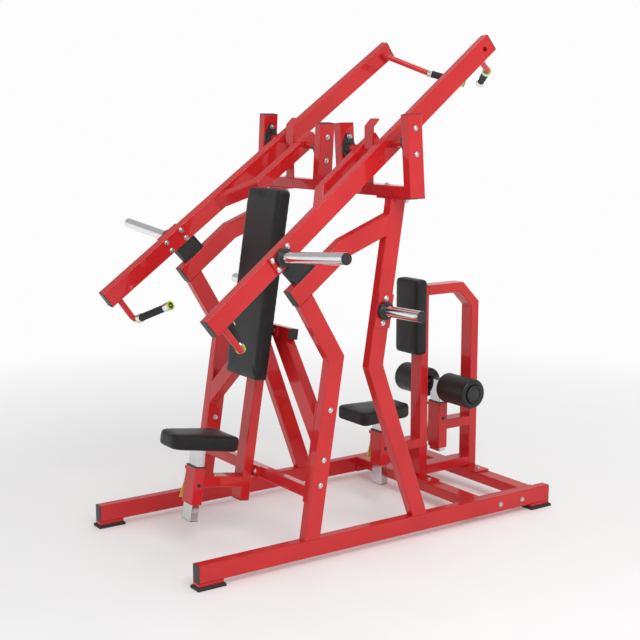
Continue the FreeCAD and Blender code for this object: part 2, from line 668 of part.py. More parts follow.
def liner(prefix, place, front, top):
    """Plastic liner with a flange on the sleeve's mouth; the chrome post runs in it."""
    gap = value("slide_gap")
    half = value("sleeve_half")
    deep = value("sleeve_deep")
    wall = value("stock_wall + liner_gap")
    start = value(front)
    middle = start + deep / 2
    flange = box(-half, half, start, start + deep, top, top + value("liner_flange"))
    lining = box(-half + wall, half - wall, start + wall, start + deep - wall, top - value("liner_long"),
                 top + value("liner_flange / 2"))
    across = value("inner_half") + gap
    depth = value("inner_deep / 2") + gap
    hollow = box(-across, across, middle - depth, middle + depth, top - value("sleeve_long"), top + half)
    shape = flange.fuse(lining).cut(hollow).removeSplitter()
    shape.Placement = place
    set_shape(f"{prefix}_liner", shape)


# Edge view of a release lever below its hinge, down its outer face and back up its inner one: distance
# out from the sleeve's face and height above the sleeve's lower end.
LEVER_EDGE = [(12, 118), (17, 88), (40, 12), (45, 8), (40, 6), (35, 12), (12.5, 88), (6, 119)]


def release_lever(prefix, side, pivot):
    """Bent strip that hinges at its top; pulled out at the bottom, it draws the plunger from the post."""
    inner = LEVER_EDGE[-1][0]
    outline = [Vector(inner, 0, pivot.z), Vector(pivot.x + value("lever_hub_out"), 0, pivot.z)]
    outline += [Vector(out, 0, rise) for out, rise in LEVER_EDGE]
    width = value("lever_half")
    edge = Part.makePolygon([point - Y * width for point in outline + outline[:1]])
    strip = Part.Face(edge).extrude(Y * (2 * width))
    knuckle = Part.makeCylinder(value("lever_knuckle"), 2 * width, pivot - Y * width, Y)
    bore = Part.makeCylinder(value("lever_pin + running_gap"), 2 * width + 2, pivot - Y * (width + 1), Y)
    plunger = Part.makeCylinder(value("plunger_radius"), value("plunger_long"),
                                Vector(-value("plunger_deep"), 0, value("plunger_rise")), X)
    shape = strip.fuse([knuckle, plunger]).cut(bore).removeSplitter()
    shape.Placement = side
    set_shape(f"{prefix}_lever", shape)


def seat_station(prefix, place, front, low, rise, shift, link_low, link_end, facing):
    """Seat on a chrome post in a sleeve, linked to the post behind it."""
    middle = f"({front} + sleeve_deep / 2)"
    sleeve(prefix, place, front, low, "sleeve_long")
    straight(f"{prefix}_link", link_low, f"{link_low} + stock_across", f"{front} + sleeve_deep", link_end,
             "stock_deep", place.multiply(ALONG_Y))
    join(f"{prefix}_bracket", [f"{prefix}_sleeve", f"{prefix}_ears", f"{prefix}_link"])
    straight(f"{prefix}_tube", f"{middle} - inner_deep / 2", f"{middle} + inner_deep / 2",
             f"{rise} - seat_post_long", f"{rise} - seat_plate", "2 * inner_half", place)
    seat_middle = f"({middle} + {shift})"
    plate(f"{prefix}_top", "XY_Plane",
          [("-seat_plate_across", f"{seat_middle} - seat_plate_along"),
           ("seat_plate_across", f"{seat_middle} - seat_plate_along"),
           ("seat_plate_across", f"{seat_middle} + seat_plate_along"),
           ("-seat_plate_across", f"{seat_middle} + seat_plate_along")],
          "seat_plate", place.multiply(moved(z=value(f"{rise} - seat_plate / 2"))))
    join(f"{prefix}_post", [f"{prefix}_tube", f"{prefix}_top"])
    cushion(prefix, place.multiply(moved(y=value(seat_middle), z=value(f"{rise} + seat_thick / 2"))), facing)


def cushion(label, place, facing):
    """Seat cushion that narrows towards its nose; `facing` points the nose along -Y or +Y."""
    back, nose = f"{-facing} * seat_half", f"{facing} * seat_half"
    body, pad, spots = padded(label, "XY_Plane",
                              [("-seat_wide_half", back), ("seat_wide_half", back),
                               ("seat_slim_half", nose), ("-seat_slim_half", nose)],
                              "seat_thick", place)
    corners = corner_edges(pad.Shape, "XY_Plane", spots, (0, 1))
    wide = rounded(body, pad, corners, "seat_wide_corner", "_back_corners")
    corners = corner_edges(wide.Shape, "XY_Plane", spots, (2, 3))
    slim = rounded(body, wide, corners, "seat_slim_corner", "_nose")
    faces = [f"Face{number}" for number, face in enumerate(slim.Shape.Faces, start=1)
             if abs(abs(face.CenterOfMass.z) - value("seat_thick / 2")) < 0.01]
    rounded(body, slim, faces, "seat_edge", "_edges")
    pieces[label] = body


# --------------------------------------------------------------------------------------------------
# Lat pulldown station
# --------------------------------------------------------------------------------------------------
def pulldown_station():
    """Two posts on bolted foot plates, tie bars, chest pad, seat and the knee rollers."""
    straight("pulldown_front_post", "front_post", "front_post + stock_across", "post_floor",
             "top_bar_high - cap_thick", "stock_deep")
    inner_cut = "stock_across * tan(22.5)"
    outer_rear = "rear_post + stock_across"
    tube("pulldown_rear_post", "YZ_Plane",
         [("rear_post", "post_floor"), (outer_rear, "post_floor"), (outer_rear, "top_bar_high - mitre_run"),
          ("rear_post", f"top_bar_high - mitre_run - {inner_cut}")], "stock_deep", (0, 2))
    front_rear = "front_post + stock_across"
    bend = f"({outer_rear} - mitre_run)"
    tube("pulldown_top_bar", "YZ_Plane",
         [(front_rear, "top_bar_high - stock_across"),
          (f"{bend} - {inner_cut}", "top_bar_high - stock_across"),
          ("rear_post", f"top_bar_high - mitre_run - {inner_cut}"), (outer_rear, "top_bar_high - mitre_run"),
          (bend, "top_bar_high"), (front_rear, "top_bar_high")], "stock_deep", (2, 5))
    straight("pulldown_low_bar", "low_bar_rise", "low_bar_rise + stock_across", front_rear, "rear_post",
             "stock_deep", ALONG_Y)
    for label, start in (("front", "member_front"), ("rear", "member_rear")):
        near, far = f"{start} - foot_plate_over", f"{start} + stock_deep + foot_plate_over"
        plate(f"{label}_foot_plate", "XY_Plane",
              [("-foot_plate_half", near), ("foot_plate_half", near),
               ("foot_plate_half", far), ("-foot_plate_half", far)],
              "plate_thick", moved(z=value("rail_top + plate_thick / 2")))
        for side in SIDES.values():
            bolt_through("frame", moved(side * value("foot_bolt"), value(f"{start} + stock_deep / 2"),
                                        value("post_floor")),
                         value("plate_thick + stock_across"), [f"{label}_foot_plate", f"{label}_base_member"])
    pad_block("chest_pad", "chest_pad_half", "chest_pad_low", "chest_pad_high",
              "front_post - chest_pad_thick", "chest_pad_thick", WORLD)
    seat_station("pulldown_seat", WORLD, "rear_sleeve_front", "rear_sleeve_low", "rear_seat_rise",
                 "rear_seat_shift", "rear_link_low", "front_post", 1)
    roller_station()


def roller_station():
    """Knee rollers on an axle through a chrome post that slides in its own sleeve."""
    front = "roller_sleeve_front"
    middle = f"({front} + sleeve_deep / 2)"
    sleeve("roller", WORLD, front, "roller_sleeve_low", "roller_sleeve_long")
    straight("roller_link", "mid_bar_rise", "mid_bar_rise + stock_across", f"{front} + sleeve_deep",
             "rear_post", "stock_deep", ALONG_Y)
    join("roller_bracket", ["roller_sleeve", "roller_ears", "roller_link"])
    straight("roller_post_tube", f"{middle} - inner_deep / 2", f"{middle} + inner_deep / 2",
             "roller_post_low", "roller_post_top", "2 * inner_half")
    axis = frame(Vector(0, value(middle), value("roller_axis")), Y, Z)
    half = value("roller_outer - axle_short")
    set_shape("roller_axle", cylinder(value("axle_radius"), -half, half, axis))
    join("roller_post", ["roller_post_tube", "roller_axle"])
    for name, side in SIDES.items():
        turned = frame(Vector(0, value(middle), value("roller_axis")), Y, Z * side)
        inner = value("roller_inner")
        outer = value("roller_outer")
        recess = value("roller_outer - disc_deep")
        bore = cylinder(value("axle_radius + running_gap"), inner - 1, outer - value("axle_short / 2"))
        core = cylinder(value("core_radius"), inner, outer).cut(bore)
        disc = cylinder(value("core_disc"), recess, outer + value("disc_proud")).cut(bore)
        shape = core.fuse(disc).removeSplitter()
        shape.Placement = turned
        set_shape(f"{name}_roller_core", shape)
        radius = value("roller_radius")
        foam = cylinder(radius, inner, outer)
        rims = [edge for edge in foam.Edges if abs(edge.Length - 2 * math.pi * radius) < 0.1]
        foam = foam.makeFillet(value("roller_round"), rims)
        foam = foam.cut(cylinder(value("core_radius"), inner - 1, outer + 1))
        foam = foam.cut(cylinder(value("core_disc"), recess, outer + 1))
        foam.Placement = turned
        set_shape(f"{name}_roller", foam)


# --------------------------------------------------------------------------------------------------
# Crossbeam, arm posts and bearings
# --------------------------------------------------------------------------------------------------
def along_post(rise, out):
    """Distance up an arm post, from the pivot axis, of a point at a height and a distance w out."""
    return f"(({rise} - pivot_rise - ({out}) * sin(pivot_tilt)) / cos(pivot_tilt))"


def crossbeam():
    """Beam over both side frames, cut at its ends to the leaning outer posts."""
    ends = {rise: f"(outer_post_face + (pivot_rise - ({rise})) * sin(pivot_tilt)) / cos(pivot_tilt)"
            for rise in ("beam_low", "beam_low + beam_high")}
    low, high = ends
    tube("crossbeam", "XZ_Plane",
         [(f"-{ends[low]}", low), (ends[low], low), (ends[high], high), (f"-{ends[high]}", high)],
         "stock_deep", (1, 3), moved(y=value("pivot_front")))
    for name, side in SIDES.items():
        arm_posts(name, side)
        bearing(f"{name}_inner_bearing", side, "inner_post_face", 1)
        bearing(f"{name}_outer_bearing", side, "outer_post_face", -1)
        shield(name, side)
    group("shaft_bearings", [f"{name}_{where}_bearing" for name in SIDES for where in ("inner", "outer")])
    group("shaft_guards", ["left_shaft_guard", "right_shaft_guard"])


def arm_posts(name, side):
    """Outer post on the beam's end and inner post standing on the beam, both square to the pivot axis."""
    inner, outer = "(inner_post_face - stock_across)", "inner_post_face"
    beam_top = "(beam_low + beam_high)"
    tube(f"{name}_inner_post", "XZ_Plane",
         [(along_post(beam_top, inner), f"{side} * {inner}"), ("post_reach", f"{side} * {inner}"),
          ("post_reach", f"{side} * {outer}"), (along_post(beam_top, outer), f"{side} * {outer}")],
         "arm_post_deep", (1, 3), post_frame(side, 0))
    near, far = "outer_post_face", "(outer_post_face + stock_across)"
    low = along_post("outer_post_low", "outer_post_face + stock_across / 2")
    high = along_post("outer_post_top", "outer_post_face + stock_across / 2")
    tube(f"{name}_outer_post", "XZ_Plane",
         [(low, f"{side} * {near}"), (high, f"{side} * {near}"),
          (high, f"{side} * {far}"), (low, f"{side} * {far}")],
         "arm_post_deep", (1, 3), post_frame(side, 0))
    for along in (-value("bearing_bolt"), value("bearing_bolt")):
        grip = value("stock_across + bearing_thick")
        bolt_through("frame", post_frame(side, value("outer_post_face + stock_across"), along, 1), grip,
                     [f"{name}_outer_post", f"{name}_outer_bearing"])
        bolt_through("frame", post_frame(side, value("inner_post_face - stock_across"), along, -1), grip,
                     [f"{name}_inner_post", f"{name}_inner_bearing"])


def bearing(label, side, face, towards):
    """Two bolt flange bearing on the facing side of an arm post."""
    wide, lobe, reach = value("bearing_wide"), value("bearing_lobe"), value("bearing_bolt")
    lean = math.asin((wide - lobe) / reach)
    near = Vector(wide * math.sin(lean), wide * math.cos(lean), 0)
    far = Vector(reach + lobe * math.sin(lean), lobe * math.cos(lean), 0)
    quarter = [near, far]
    loop = quarter + [Vector(p.x, -p.y, 0) for p in reversed(quarter)]
    loop += [Vector(-p.x, -p.y, 0) for p in quarter] + [Vector(-p.x, p.y, 0) for p in reversed(quarter)]
    thick = value("bearing_thick")
    flange = Part.Face(Part.makePolygon(loop + loop[:1])).extrude(Z * thick)
    lobes = [cylinder(wide, 0, thick)]
    lobes += [cylinder(lobe, 0, thick, moved(x=sign * reach)) for sign in (-1, 1)]
    high = value("bearing_hub")
    hub = Part.makeCone(value("hub_foot"), value("hub_tip"), high - thick, Vector(0, 0, thick), Z)
    shape = flange.fuse(lobes + [hub]).cut(cylinder(value("shaft_radius + running_gap"), -1, high + 1))
    shape = shape.removeSplitter()
    shape.Placement = post_frame(side, value(face), 0, towards)
    set_shape(label, shape)


def shield(name, side):
    """Flat bar that stands on the beam in front of the shaft, its top bent back."""
    front = "beam_front"
    bend = "guard_bend"
    plate(f"{name}_shaft_guard", "YZ_Plane",
          [(front, "beam_low + beam_high"), (f"{front} + plate_thick", "beam_low + beam_high"),
           (f"{front} + plate_thick", f"{bend} - plate_thick * tan(22.5)"),
           (f"{front} + guard_reach + plate_thick * sin(45)",
            f"{bend} + guard_reach - plate_thick * cos(45)"),
           (f"{front} + guard_reach", f"{bend} + guard_reach"), (front, bend)],
          "guard_outer - guard_inner", moved(side * value("(guard_inner + guard_outer) / 2")))


# --------------------------------------------------------------------------------------------------
# Lever arms
# --------------------------------------------------------------------------------------------------
def arms():
    """Each arm: a long tube, a bent brace beside it, the shaft through both, a weight horn and handles."""
    for name, side in SIDES.items():
        middle = value("arm_inner + stock_across / 2")
        tube(f"{name}_arm", "XY_Plane",
             [("arm_front", "-arm_half_deep"), ("arm_rear", "-arm_half_deep"), ("arm_rear", "arm_half_deep"),
              ("arm_front", "arm_half_deep")], "stock_across", (1, 3), arm_frame(side, out=middle))
        brace(name, side)
        shaft = doc.addObject("Part::Cylinder", f"{name}_shaft")
        shaft.setExpression("Radius", bound("shaft_radius"))
        shaft.setExpression("Height", bound("outer_post_face - inner_post_face - 2 * shaft_gap"))
        start = value("inner_post_face + shaft_gap") if side > 0 else value("outer_post_face - shaft_gap")
        shaft.Placement = arm_frame(side, out=start)
        doc.recompute()
        pieces[f"{name}_shaft"] = shaft
        reach = value("stock_across")
        for label, out in ((f"{name}_arm", middle),
                           (f"{name}_brace", value("brace_inner + stock_across / 2"))):
            drill(label, "shaft_radius", -reach, reach, arm_frame(side, out=out))
        weight_horn(name, side)
        handles(name, side)


def brace(name, side):
    """Short tube beside the arm, bent across to meet it; the shaft holds its rear end."""
    near, far = "brace_inner", "(brace_inner + stock_across)"
    bend = "(brace_bend + stock_across * tan(22.5))"
    tube(f"{name}_brace", "XZ_Plane",
         [("brace_rear", f"{side} * {near}"), ("brace_rear", f"{side} * {far}"), (bend, f"{side} * {far}"),
          (f"{bend} - (arm_inner - {far})", f"{side} * arm_inner"),
          (f"brace_bend - (arm_inner - {near})", f"{side} * arm_inner"), ("brace_bend", f"{side} * {near}")],
         "2 * brace_half", (3,), arm_frame(side))


def outwards(side, along, square, out):
    """Arm frame at a point with its Z axis pointing out along +w on either arm."""
    place = arm_frame(side, along, square, out)
    return place.multiply(frame(Vector(), X, Y * side))


def weight_horn(name, side):
    """Chrome horn for weight plates on a bolted plate, with a rubber collar."""
    face = value("arm_inner + stock_across")
    outer = value("arm_inner + stock_across + horn_plate")
    along = value("horn_along")
    near, far = "horn_along - horn_plate_half", "horn_along + horn_plate_half"
    plate(f"{name}_horn_plate", "XY_Plane",
          [(near, "-arm_half_deep"), (far, "-arm_half_deep"),
           (far, "arm_half_deep"), (near, "arm_half_deep")],
          "horn_plate", arm_frame(side, out=(face + outer) / 2))
    horn(f"{name}_weight", outwards(side, along, 0, outer), 0, value("horn_tip") - outer)
    for across in (-1, 1):
        for up in (-1, 1):
            spot = outwards(side, along + across * value("horn_bolt_along"),
                            up * value("horn_bolt_across"), outer)
            bolt_through(f"{name}_arm", spot, outer - value("arm_inner"),
                         [f"{name}_arm", f"{name}_horn_plate"])


def horn(prefix, place, start, tip):
    """Hollow chrome horn with a rubber collar at its foot and a black cap on its end.

    Where the collar sits, the horn is a hair slimmer than along its working length.
    """
    collar_end = value("collar_thick")
    seat_end = collar_end + value("collar_gap")
    shape = cylinder(value("horn_radius"), seat_end, tip).fuse(cylinder(value("horn_seat"), start, seat_end))
    shape = shape.cut(cylinder(value("horn_radius - stock_wall"), start - 1, tip + 1))
    shape.Placement = place
    set_shape(f"{prefix}_horn", shape)
    ring(f"{prefix}_collar", place, "horn_seat + running_gap", "collar_radius", start, collar_end)
    radius = value("horn_cap")
    cap = cylinder(radius, tip, tip + value("cap_thick"))
    rims = [edge for edge in cap.Edges if edge.Length > 6 * radius and edge.CenterOfMass.z > tip + 1]
    cap = cap.makeFillet(value("horn_cap_round"), rims)
    cap.Placement = place
    set_shape(f"{prefix}_cap", cap)


def ring(label, place, inner, outer, low, high):
    """Ring around the Z axis of a frame with softened rims."""
    soft = min(value("ring_round"), (high - low) / 4)
    shape = cylinder(value(outer), low, high)
    rims = [edge for edge in shape.Edges if abs(edge.Length - 2 * math.pi * value(outer)) < 0.1]
    shape = shape.makeFillet(soft, rims).cut(cylinder(value(inner), low - 1, high + 1))
    shape.Placement = place
    set_shape(label, shape)


def bent_bar(label, place, runs, turns, radius):
    """Round bar in the XY plane of a frame, along X first; returns the frame of its last run."""
    body = doc.addObject("PartDesign::Body", label)
    spine = sketch_on(body, "XY_Plane", label + "_spine")
    lengths = [value(run) for run in runs]
    angles = [value(turn) for turn in turns]
    bend = value(radius)
    cuts = [bend * math.tan(math.radians(abs(angle) / 2)) for angle in angles]
    heading = 0.0
    corner = Vector()
    for index, length in enumerate(lengths):
        towards = Vector(degrees_cos(heading), degrees_sin(heading), 0)
        start = corner + towards * (cuts[index - 1] if index else 0)
        finish = corner + towards * (length - (cuts[index] if index < len(cuts) else 0))
        spine.addGeometry(Part.LineSegment(start, finish))
        last_corner, last_heading = corner, towards
        corner = corner + towards * length
        if index < len(cuts):
            turn = angles[index]
            after = heading + turn
            away = Vector(degrees_cos(after), degrees_sin(after), 0)
            inward = (away - towards).normalize()
            middle = corner + inward * (bend / degrees_cos(turn / 2) - bend)
            leave = corner + away * cuts[index]
            spine.addGeometry(Part.Arc(finish, middle, leave))
            heading = after
    profile = sketch_on(body, "YZ_Plane", label + "_section")
    for text in ("bar_radius", "bar_radius - bar_wall"):
        circle = profile.addGeometry(Part.Circle(Vector(), Z, value(text)))
        profile.addConstraint(Sketcher.Constraint("Coincident", circle, 3, -1, 1))
        size = profile.addConstraint(Sketcher.Constraint("Radius", circle, value(text)))
        profile.setExpression(f"Constraints[{size}]", bound(text))
    doc.recompute()
    pipe = body.newObject("PartDesign::AdditivePipe", label + "_pipe")
    pipe.Profile = profile
    pipe.Spine = (spine, [f"Edge{number}" for number in range(1, len(spine.Geometry) + 1)])
    body.Placement = place
    doc.recompute()
    pieces[label] = body
    return place.multiply(frame(last_corner, last_heading.cross(Z), Z * -1))


def handles(name, side):
    """Press handle under the arm's front end and pulldown handle through its rear end."""
    fan = value("press_fan")
    start = arm_frame(side, value("press_along"), value("-arm_half_deep"),
                      value("arm_inner + stock_across / 2"))
    place = start.multiply(frame(Vector(), Y * -1, Vector(degrees_cos(fan), 0, -side * degrees_sin(fan))))
    last = bent_bar(f"{name}_press_handle", place, ["press_drop", "press_reach"], ["press_turn"],
                    "press_bend")
    grip(f"{name}_press_grip", last, "press_grip_start", "press_reach")
    fan = value("pull_fan")
    start = arm_frame(side, value("pull_along"), 0, value("arm_inner + stock_across + 2"))
    place = start.multiply(frame(Vector(), Z * -side, Vector(degrees_cos(fan), -degrees_sin(fan), 0)))
    last = bent_bar(f"{name}_pulldown_handle", place, ["pull_out", "pull_arm", "pull_reach"],
                    ["pull_turn", "pull_return"], "pull_bend")
    grip(f"{name}_pulldown_grip", last, "pull_grip_start", "pull_reach")
    through = value("stock_across + plate_thick")
    drill(f"{name}_arm", "bar_radius", -through, through, start)


GRIP_PARTS = ("ring", "near_collar", "sleeve", "far_collar", "disc")


def grip(prefix, last, start, end):
    """Rubber sleeve between two collars on a handle's last run, a thin ring before and a disc on the end."""
    bore = "bar_radius + grip_gap"
    first = f"{start} + ring_thick"
    marks = (start, first, f"{first} + near_collar", f"{end} - far_collar", end)
    levels = [value(mark) for mark in marks]
    radii = ("ring_radius", "end_collar", "grip_radius", "end_collar")
    for part, radius, low, high in zip(GRIP_PARTS, radii, levels, levels[1:]):
        ring(f"{prefix}_{part}", last, bore, radius, low, high)
    disc = cylinder(value("ring_radius"), levels[-1], levels[-1] + value("ring_thick"))
    rims = [edge for edge in disc.Edges if edge.Length > 6 * value("ring_radius")]
    disc = disc.makeFillet(value("ring_thick / 4"), rims)
    disc.Placement = last
    set_shape(f"{prefix}_disc", disc)


# --------------------------------------------------------------------------------------------------
# Storage horns, end caps and plugs
# --------------------------------------------------------------------------------------------------
def storage_horns():
    """Two horns on the rear uprights for spare weight plates, tipped up so that no plate slides off."""
    for name, side in SIDES.items():
        spot = Vector(side * (side_outer + value("plate_thick / 2")), value("storage_along"),
                      value("storage_rise"))
        place = Placement(spot, Rotation(X, -value("lean")))
        half, across = "storage_plate_half", "storage_plate_across / 2"
        plate(f"{name}_storage_plate", "YZ_Plane",
              [(f"-{across}", f"-{half}"), (across, f"-{half}"), (across, half), (f"-{across}", half)],
              "plate_thick", place)
        outer = place.multiply(frame(Vector(side * value("plate_thick / 2"), 0, 0), Y, Z * side))
        tilted = outer.multiply(Placement(Vector(), Rotation(X, -side * value("storage_tilt"))))
        long = value("storage_tip - plate_thick") - side_outer
        horn(f"{name}_storage", tilted, -value("storage_sink"), long)
        for part in ("horn", "collar"):
            trim(f"{name}_storage_{part}", outer)
        for up in (-1, 1):
            bolt = outer.multiply(moved(y=up * value("storage_bolt")))
            bolt_through("frame", bolt, value("stock_across + plate_thick"),
                         [f"{name}_rear_upright", f"{name}_storage_plate"])


def trim(label, place):
    """Cuts away what a piece has behind the XY plane of a frame."""
    reach = value("collar_radius") * 2
    behind = box(-reach, reach, -reach, reach, -reach, 0)
    behind.Placement = place
    pieces[label].Shape = pieces[label].Shape.cut(behind)


def end_cap(label, place, half_x, half_y):
    """Plastic cap on a tube's end, its Z axis pointing out of the tube, with a plug inside the tube."""
    corner = value("stock_corner")
    thick = value("cap_thick")
    cap = box(-half_x, half_x, -half_y, half_y, 0, thick)
    upright = [edge for edge in cap.Edges if abs(edge.Vertexes[0].Z - edge.Vertexes[-1].Z) > 1]
    cap = cap.makeFillet(corner, upright)
    rim = [edge for edge in cap.Edges if min(vertex.Z for vertex in edge.Vertexes) > thick - 0.01]
    cap = cap.makeFillet(value("cap_round"), rim)
    inner_x = half_x - value("stock_wall + plug_gap")
    inner_y = half_y - value("stock_wall + plug_gap")
    plug = box(-inner_x, inner_x, -inner_y, inner_y, -value("plug_long"), thick / 2)
    shape = cap.fuse(plug).removeSplitter()
    shape.Placement = place
    set_shape(label, shape)
    return label


def end_caps():
    """Caps on every open tube end of the fixed frame and of the arms."""
    caps = []
    across = value("stock_across / 2")
    deep = value("stock_deep / 2")
    for name, side in SIDES.items():
        for where, end in ENDS.items():
            spot = Vector(side * value("side_plane"), end * value("rail_half - cap_thick"),
                          value("(rail_low + rail_top) / 2"))
            caps.append(end_cap(f"{name}_{where}_rail_cap", frame(spot, X, Z * -end), across, deep))
        caps.append(bumper_tube_cap(name, side))
        inner = value("inner_post_face - stock_across / 2")
        outer = value("outer_post_face + stock_across / 2")
        low = value(along_post("outer_post_low", "outer_post_face + stock_across / 2"))
        high = value(along_post("outer_post_top", "outer_post_face + stock_across / 2"))
        ends = (("inner_top", inner, value("post_reach"), 1), ("outer_top", outer, high, 1),
                ("outer_low", outer, low, -1))
        for label, out, along, up in ends:
            tip = post_frame(side, out, along).multiply(frame(Vector(), Z, Y * -up))
            caps.append(end_cap(f"{name}_{label}_cap", tip, across, deep))
        mid = Vector(side * value("mid_tube_half - cap_thick"), value("stock_across / 2"),
                     value("mid_tube_rise + stock_across / 2"))
        tip = LEANING.multiply(frame(mid, Y, Z * side))
        caps.append(end_cap(f"{name}_mid_cap", tip, across, across))
        middle = value("arm_inner + stock_across / 2")
        arm_caps = []
        for where, end in ENDS.items():
            tip = arm_frame(side, value(f"arm_{where}"), 0, middle).multiply(frame(Vector(), Y, Z * end))
            arm_caps.append(end_cap(f"{name}_arm_{where}_cap", tip, value("arm_half_deep"), across))
        group(f"{name}_arm_caps", arm_caps + [f"{name}_weight_cap", f"{name}_weight_collar"])
    depth = value("-post_gap - stock_across / 2")
    for label, up in (("chest_post_low", -1), ("chest_post_high", 1)):
        place = LEANING.multiply(frame(Vector(0, depth, value(label)), X, Y * up))
        caps.append(end_cap(f"{label}_cap", place, deep, across))
    top = Vector(0, value("front_post + stock_across / 2"), value("top_bar_high - cap_thick"))
    caps.append(end_cap("front_post_cap", frame(top, X, Y), deep, across))
    group("tube_end_caps", caps + [f"{name}_storage_{what}" for name in SIDES for what in ("cap", "collar")])


def bumper_tube_cap(name, side):
    """Cap square to the front end of a bumper tube."""
    corners = bumper_tube_corners(FRONT_START)
    low = Vector(0, value(corners[0][0]), value(corners[0][1]))
    high = Vector(0, value(corners[-1][0]), value(corners[-1][1]))
    spot = (low + high) * 0.5 + X * (side * value("side_plane"))
    return end_cap(f"{name}_bumper_tube_cap", frame(spot, X, (low - high).normalize() * -1),
                   value("stock_across / 2"), value("bumper_tube_deep / 2"))


def sideways(outline, low, high):
    """Prism across X whose outline lies in the YZ plane."""
    points = [Vector(low, spot.x, spot.y) for spot in outline]
    return Part.Face(Part.makePolygon(points + points[:1])).extrude(X * (high - low))


def arm_bumpers():
    """Rubber block on each bumper tube on which the arm rests, with a shallow recess in both sides."""
    (front_y, front_z), (bend_y, bend_z) = [
        (value(y), value(z)) for y, z in reversed(bumper_tube_corners(FRONT_START)[-2:])]
    slope = (bend_z - front_z) / (bend_y - front_y)
    rest = arm_underside(side_inner)
    low_front, low_rear = value("block_low_front"), value("block_low_rear")
    high_front, high_rear = value("block_high_front"), value("block_high_rear")
    outline = [Vector(y, front_z + slope * (y - front_y), 0) for y in (low_front, low_rear)]
    outline += [Vector(y, rest(y), 0) for y in (high_rear, high_front)]
    across, deep = value("stock_across"), value("block_recess")
    block = sideways(outline, 0, across)
    recess = inset(outline, [value("block_rim")] * len(outline))
    block = block.cut([sideways(recess, -1, deep), sideways(recess, across - deep, across + 1)])
    for name, side in SIDES.items():
        shape = block.copy()
        shape.Placement = moved(side_inner if side > 0 else -side_outer)
        set_shape(f"{name}_bumper", shape)
    group("arm_bumpers", ["left_bumper", "right_bumper"])


def arm_underside(x):
    """Height of a resting arm's underside, less a hair, as a function of y in a plane of constant x."""
    place = arm_frame(1)
    inverse = place.inverse()
    under = -value("arm_half_deep + rest_gap")

    def height(y):
        low, high = 500.0, 2500.0
        for _ in range(60):
            middle = (low + high) / 2
            if inverse.multVec(Vector(x, y, middle)).y > under:
                high = middle
            else:
                low = middle
        return low
    return height


FRONT_START = ("upright_front + tan(lean) * (knee_rise - rail_top)"
               " - tan(knee_bend) * (upright_top_rise - knee_rise)")


base()
side_frames()
chest_station()
seat_station("chest_seat", LEANING, "chest_sleeve_front", "chest_sleeve_low", "chest_seat_rise",
             "chest_seat_shift", "seat_link_rise", "-post_gap - stock_across", -1)
pulldown_station()
crossbeam()
arms()
storage_horns()
end_caps()
arm_bumpers()
cut_holes()
group("bolted_plates", [label for label in pieces if label.endswith(("_plate", "_mount"))
                        and "horn_plate" not in label])
group("sleeve_liners", ["chest_seat_liner", "pulldown_seat_liner", "roller_liner"])
group("chest_cross_members", ["low_cross_member", "mid_cross_tube"])
group("pulldown_tie_bars", ["pulldown_top_bar", "pulldown_low_bar"])
for pair in ("front_upright", "rear_upright", "inner_post", "outer_post", "storage_horn", "strut"):
    group(f"{pair}s", [f"{name}_{pair}" for name in SIDES])
STATIONS = ("press", "pulldown")
for name in SIDES:
    group(f"{name}_handles", [f"{name}_{where}_handle" for where in STATIONS])
    group(f"{name}_grips", [f"{name}_{where}_grip_{part}" for where in STATIONS for part in GRIP_PARTS])
make_groups()
set_shape("frame_fasteners", Part.makeCompound(fasteners["frame"]))
for name in SIDES:
    set_shape(f"{name}_arm_fasteners", Part.makeCompound(fasteners[f"{name}_arm"]))

for item in doc.Objects:
    if {"Invalid", "Error"} & set(item.State):
        raise RuntimeError(f"{item.Label} is {item.State}")
os.makedirs("parts", exist_ok=True)
for label, piece in pieces.items():
    if piece.Shape.isNull() or not piece.Shape.isValid():
        raise RuntimeError(f"{label} has no valid shape")
for label, piece in pieces.items():
    piece.Shape.exportStep(f"parts/{label}.step")
print(len(pieces), "nodes")
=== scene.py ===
import json
import math

import bmesh
import bpy
import numpy as np
from mathutils import Matrix, Vector, noise


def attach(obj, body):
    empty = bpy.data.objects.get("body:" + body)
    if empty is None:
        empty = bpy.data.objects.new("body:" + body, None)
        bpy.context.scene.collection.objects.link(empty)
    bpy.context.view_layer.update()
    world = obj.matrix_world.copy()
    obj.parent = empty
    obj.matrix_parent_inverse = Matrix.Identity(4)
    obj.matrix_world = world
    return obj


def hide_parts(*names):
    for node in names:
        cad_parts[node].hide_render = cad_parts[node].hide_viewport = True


# Looks of the dual station gym machine: glossy red tube frame, black vinyl pads, foam rollers, chrome posts.
# Metres. +Z is up, -Y is the chest press side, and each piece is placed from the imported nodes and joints.

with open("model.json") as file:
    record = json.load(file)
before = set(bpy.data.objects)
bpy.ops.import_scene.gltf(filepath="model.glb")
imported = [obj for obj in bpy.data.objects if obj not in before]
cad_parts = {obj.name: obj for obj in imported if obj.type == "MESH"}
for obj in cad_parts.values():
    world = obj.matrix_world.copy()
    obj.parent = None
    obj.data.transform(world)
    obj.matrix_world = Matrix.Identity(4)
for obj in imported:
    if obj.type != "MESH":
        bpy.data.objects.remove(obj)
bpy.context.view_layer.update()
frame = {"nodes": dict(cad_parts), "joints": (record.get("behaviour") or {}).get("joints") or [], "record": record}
NODES = frame["nodes"]
JOINTS = {joint["name"]: joint for joint in frame["joints"]}
SLOT_OF = {part["node"]: part["material_slot"] for part in frame["record"]["subparts"]}
X, Y, Z = Vector((1, 0, 0)), Vector((0, 1, 0)), Vector((0, 0, 1))
SIDES = {"left": -1, "right": 1}


# --------------------------------------------------------------------------------------------------
# Places
# --------------------------------------------------------------------------------------------------
def basis(origin, first, second, third):
    """Matrix whose axes are the three directions and whose origin is the point."""
    matrix = Matrix((first, second, third)).transposed().to_4x4()
    matrix.translation = origin
    return matrix


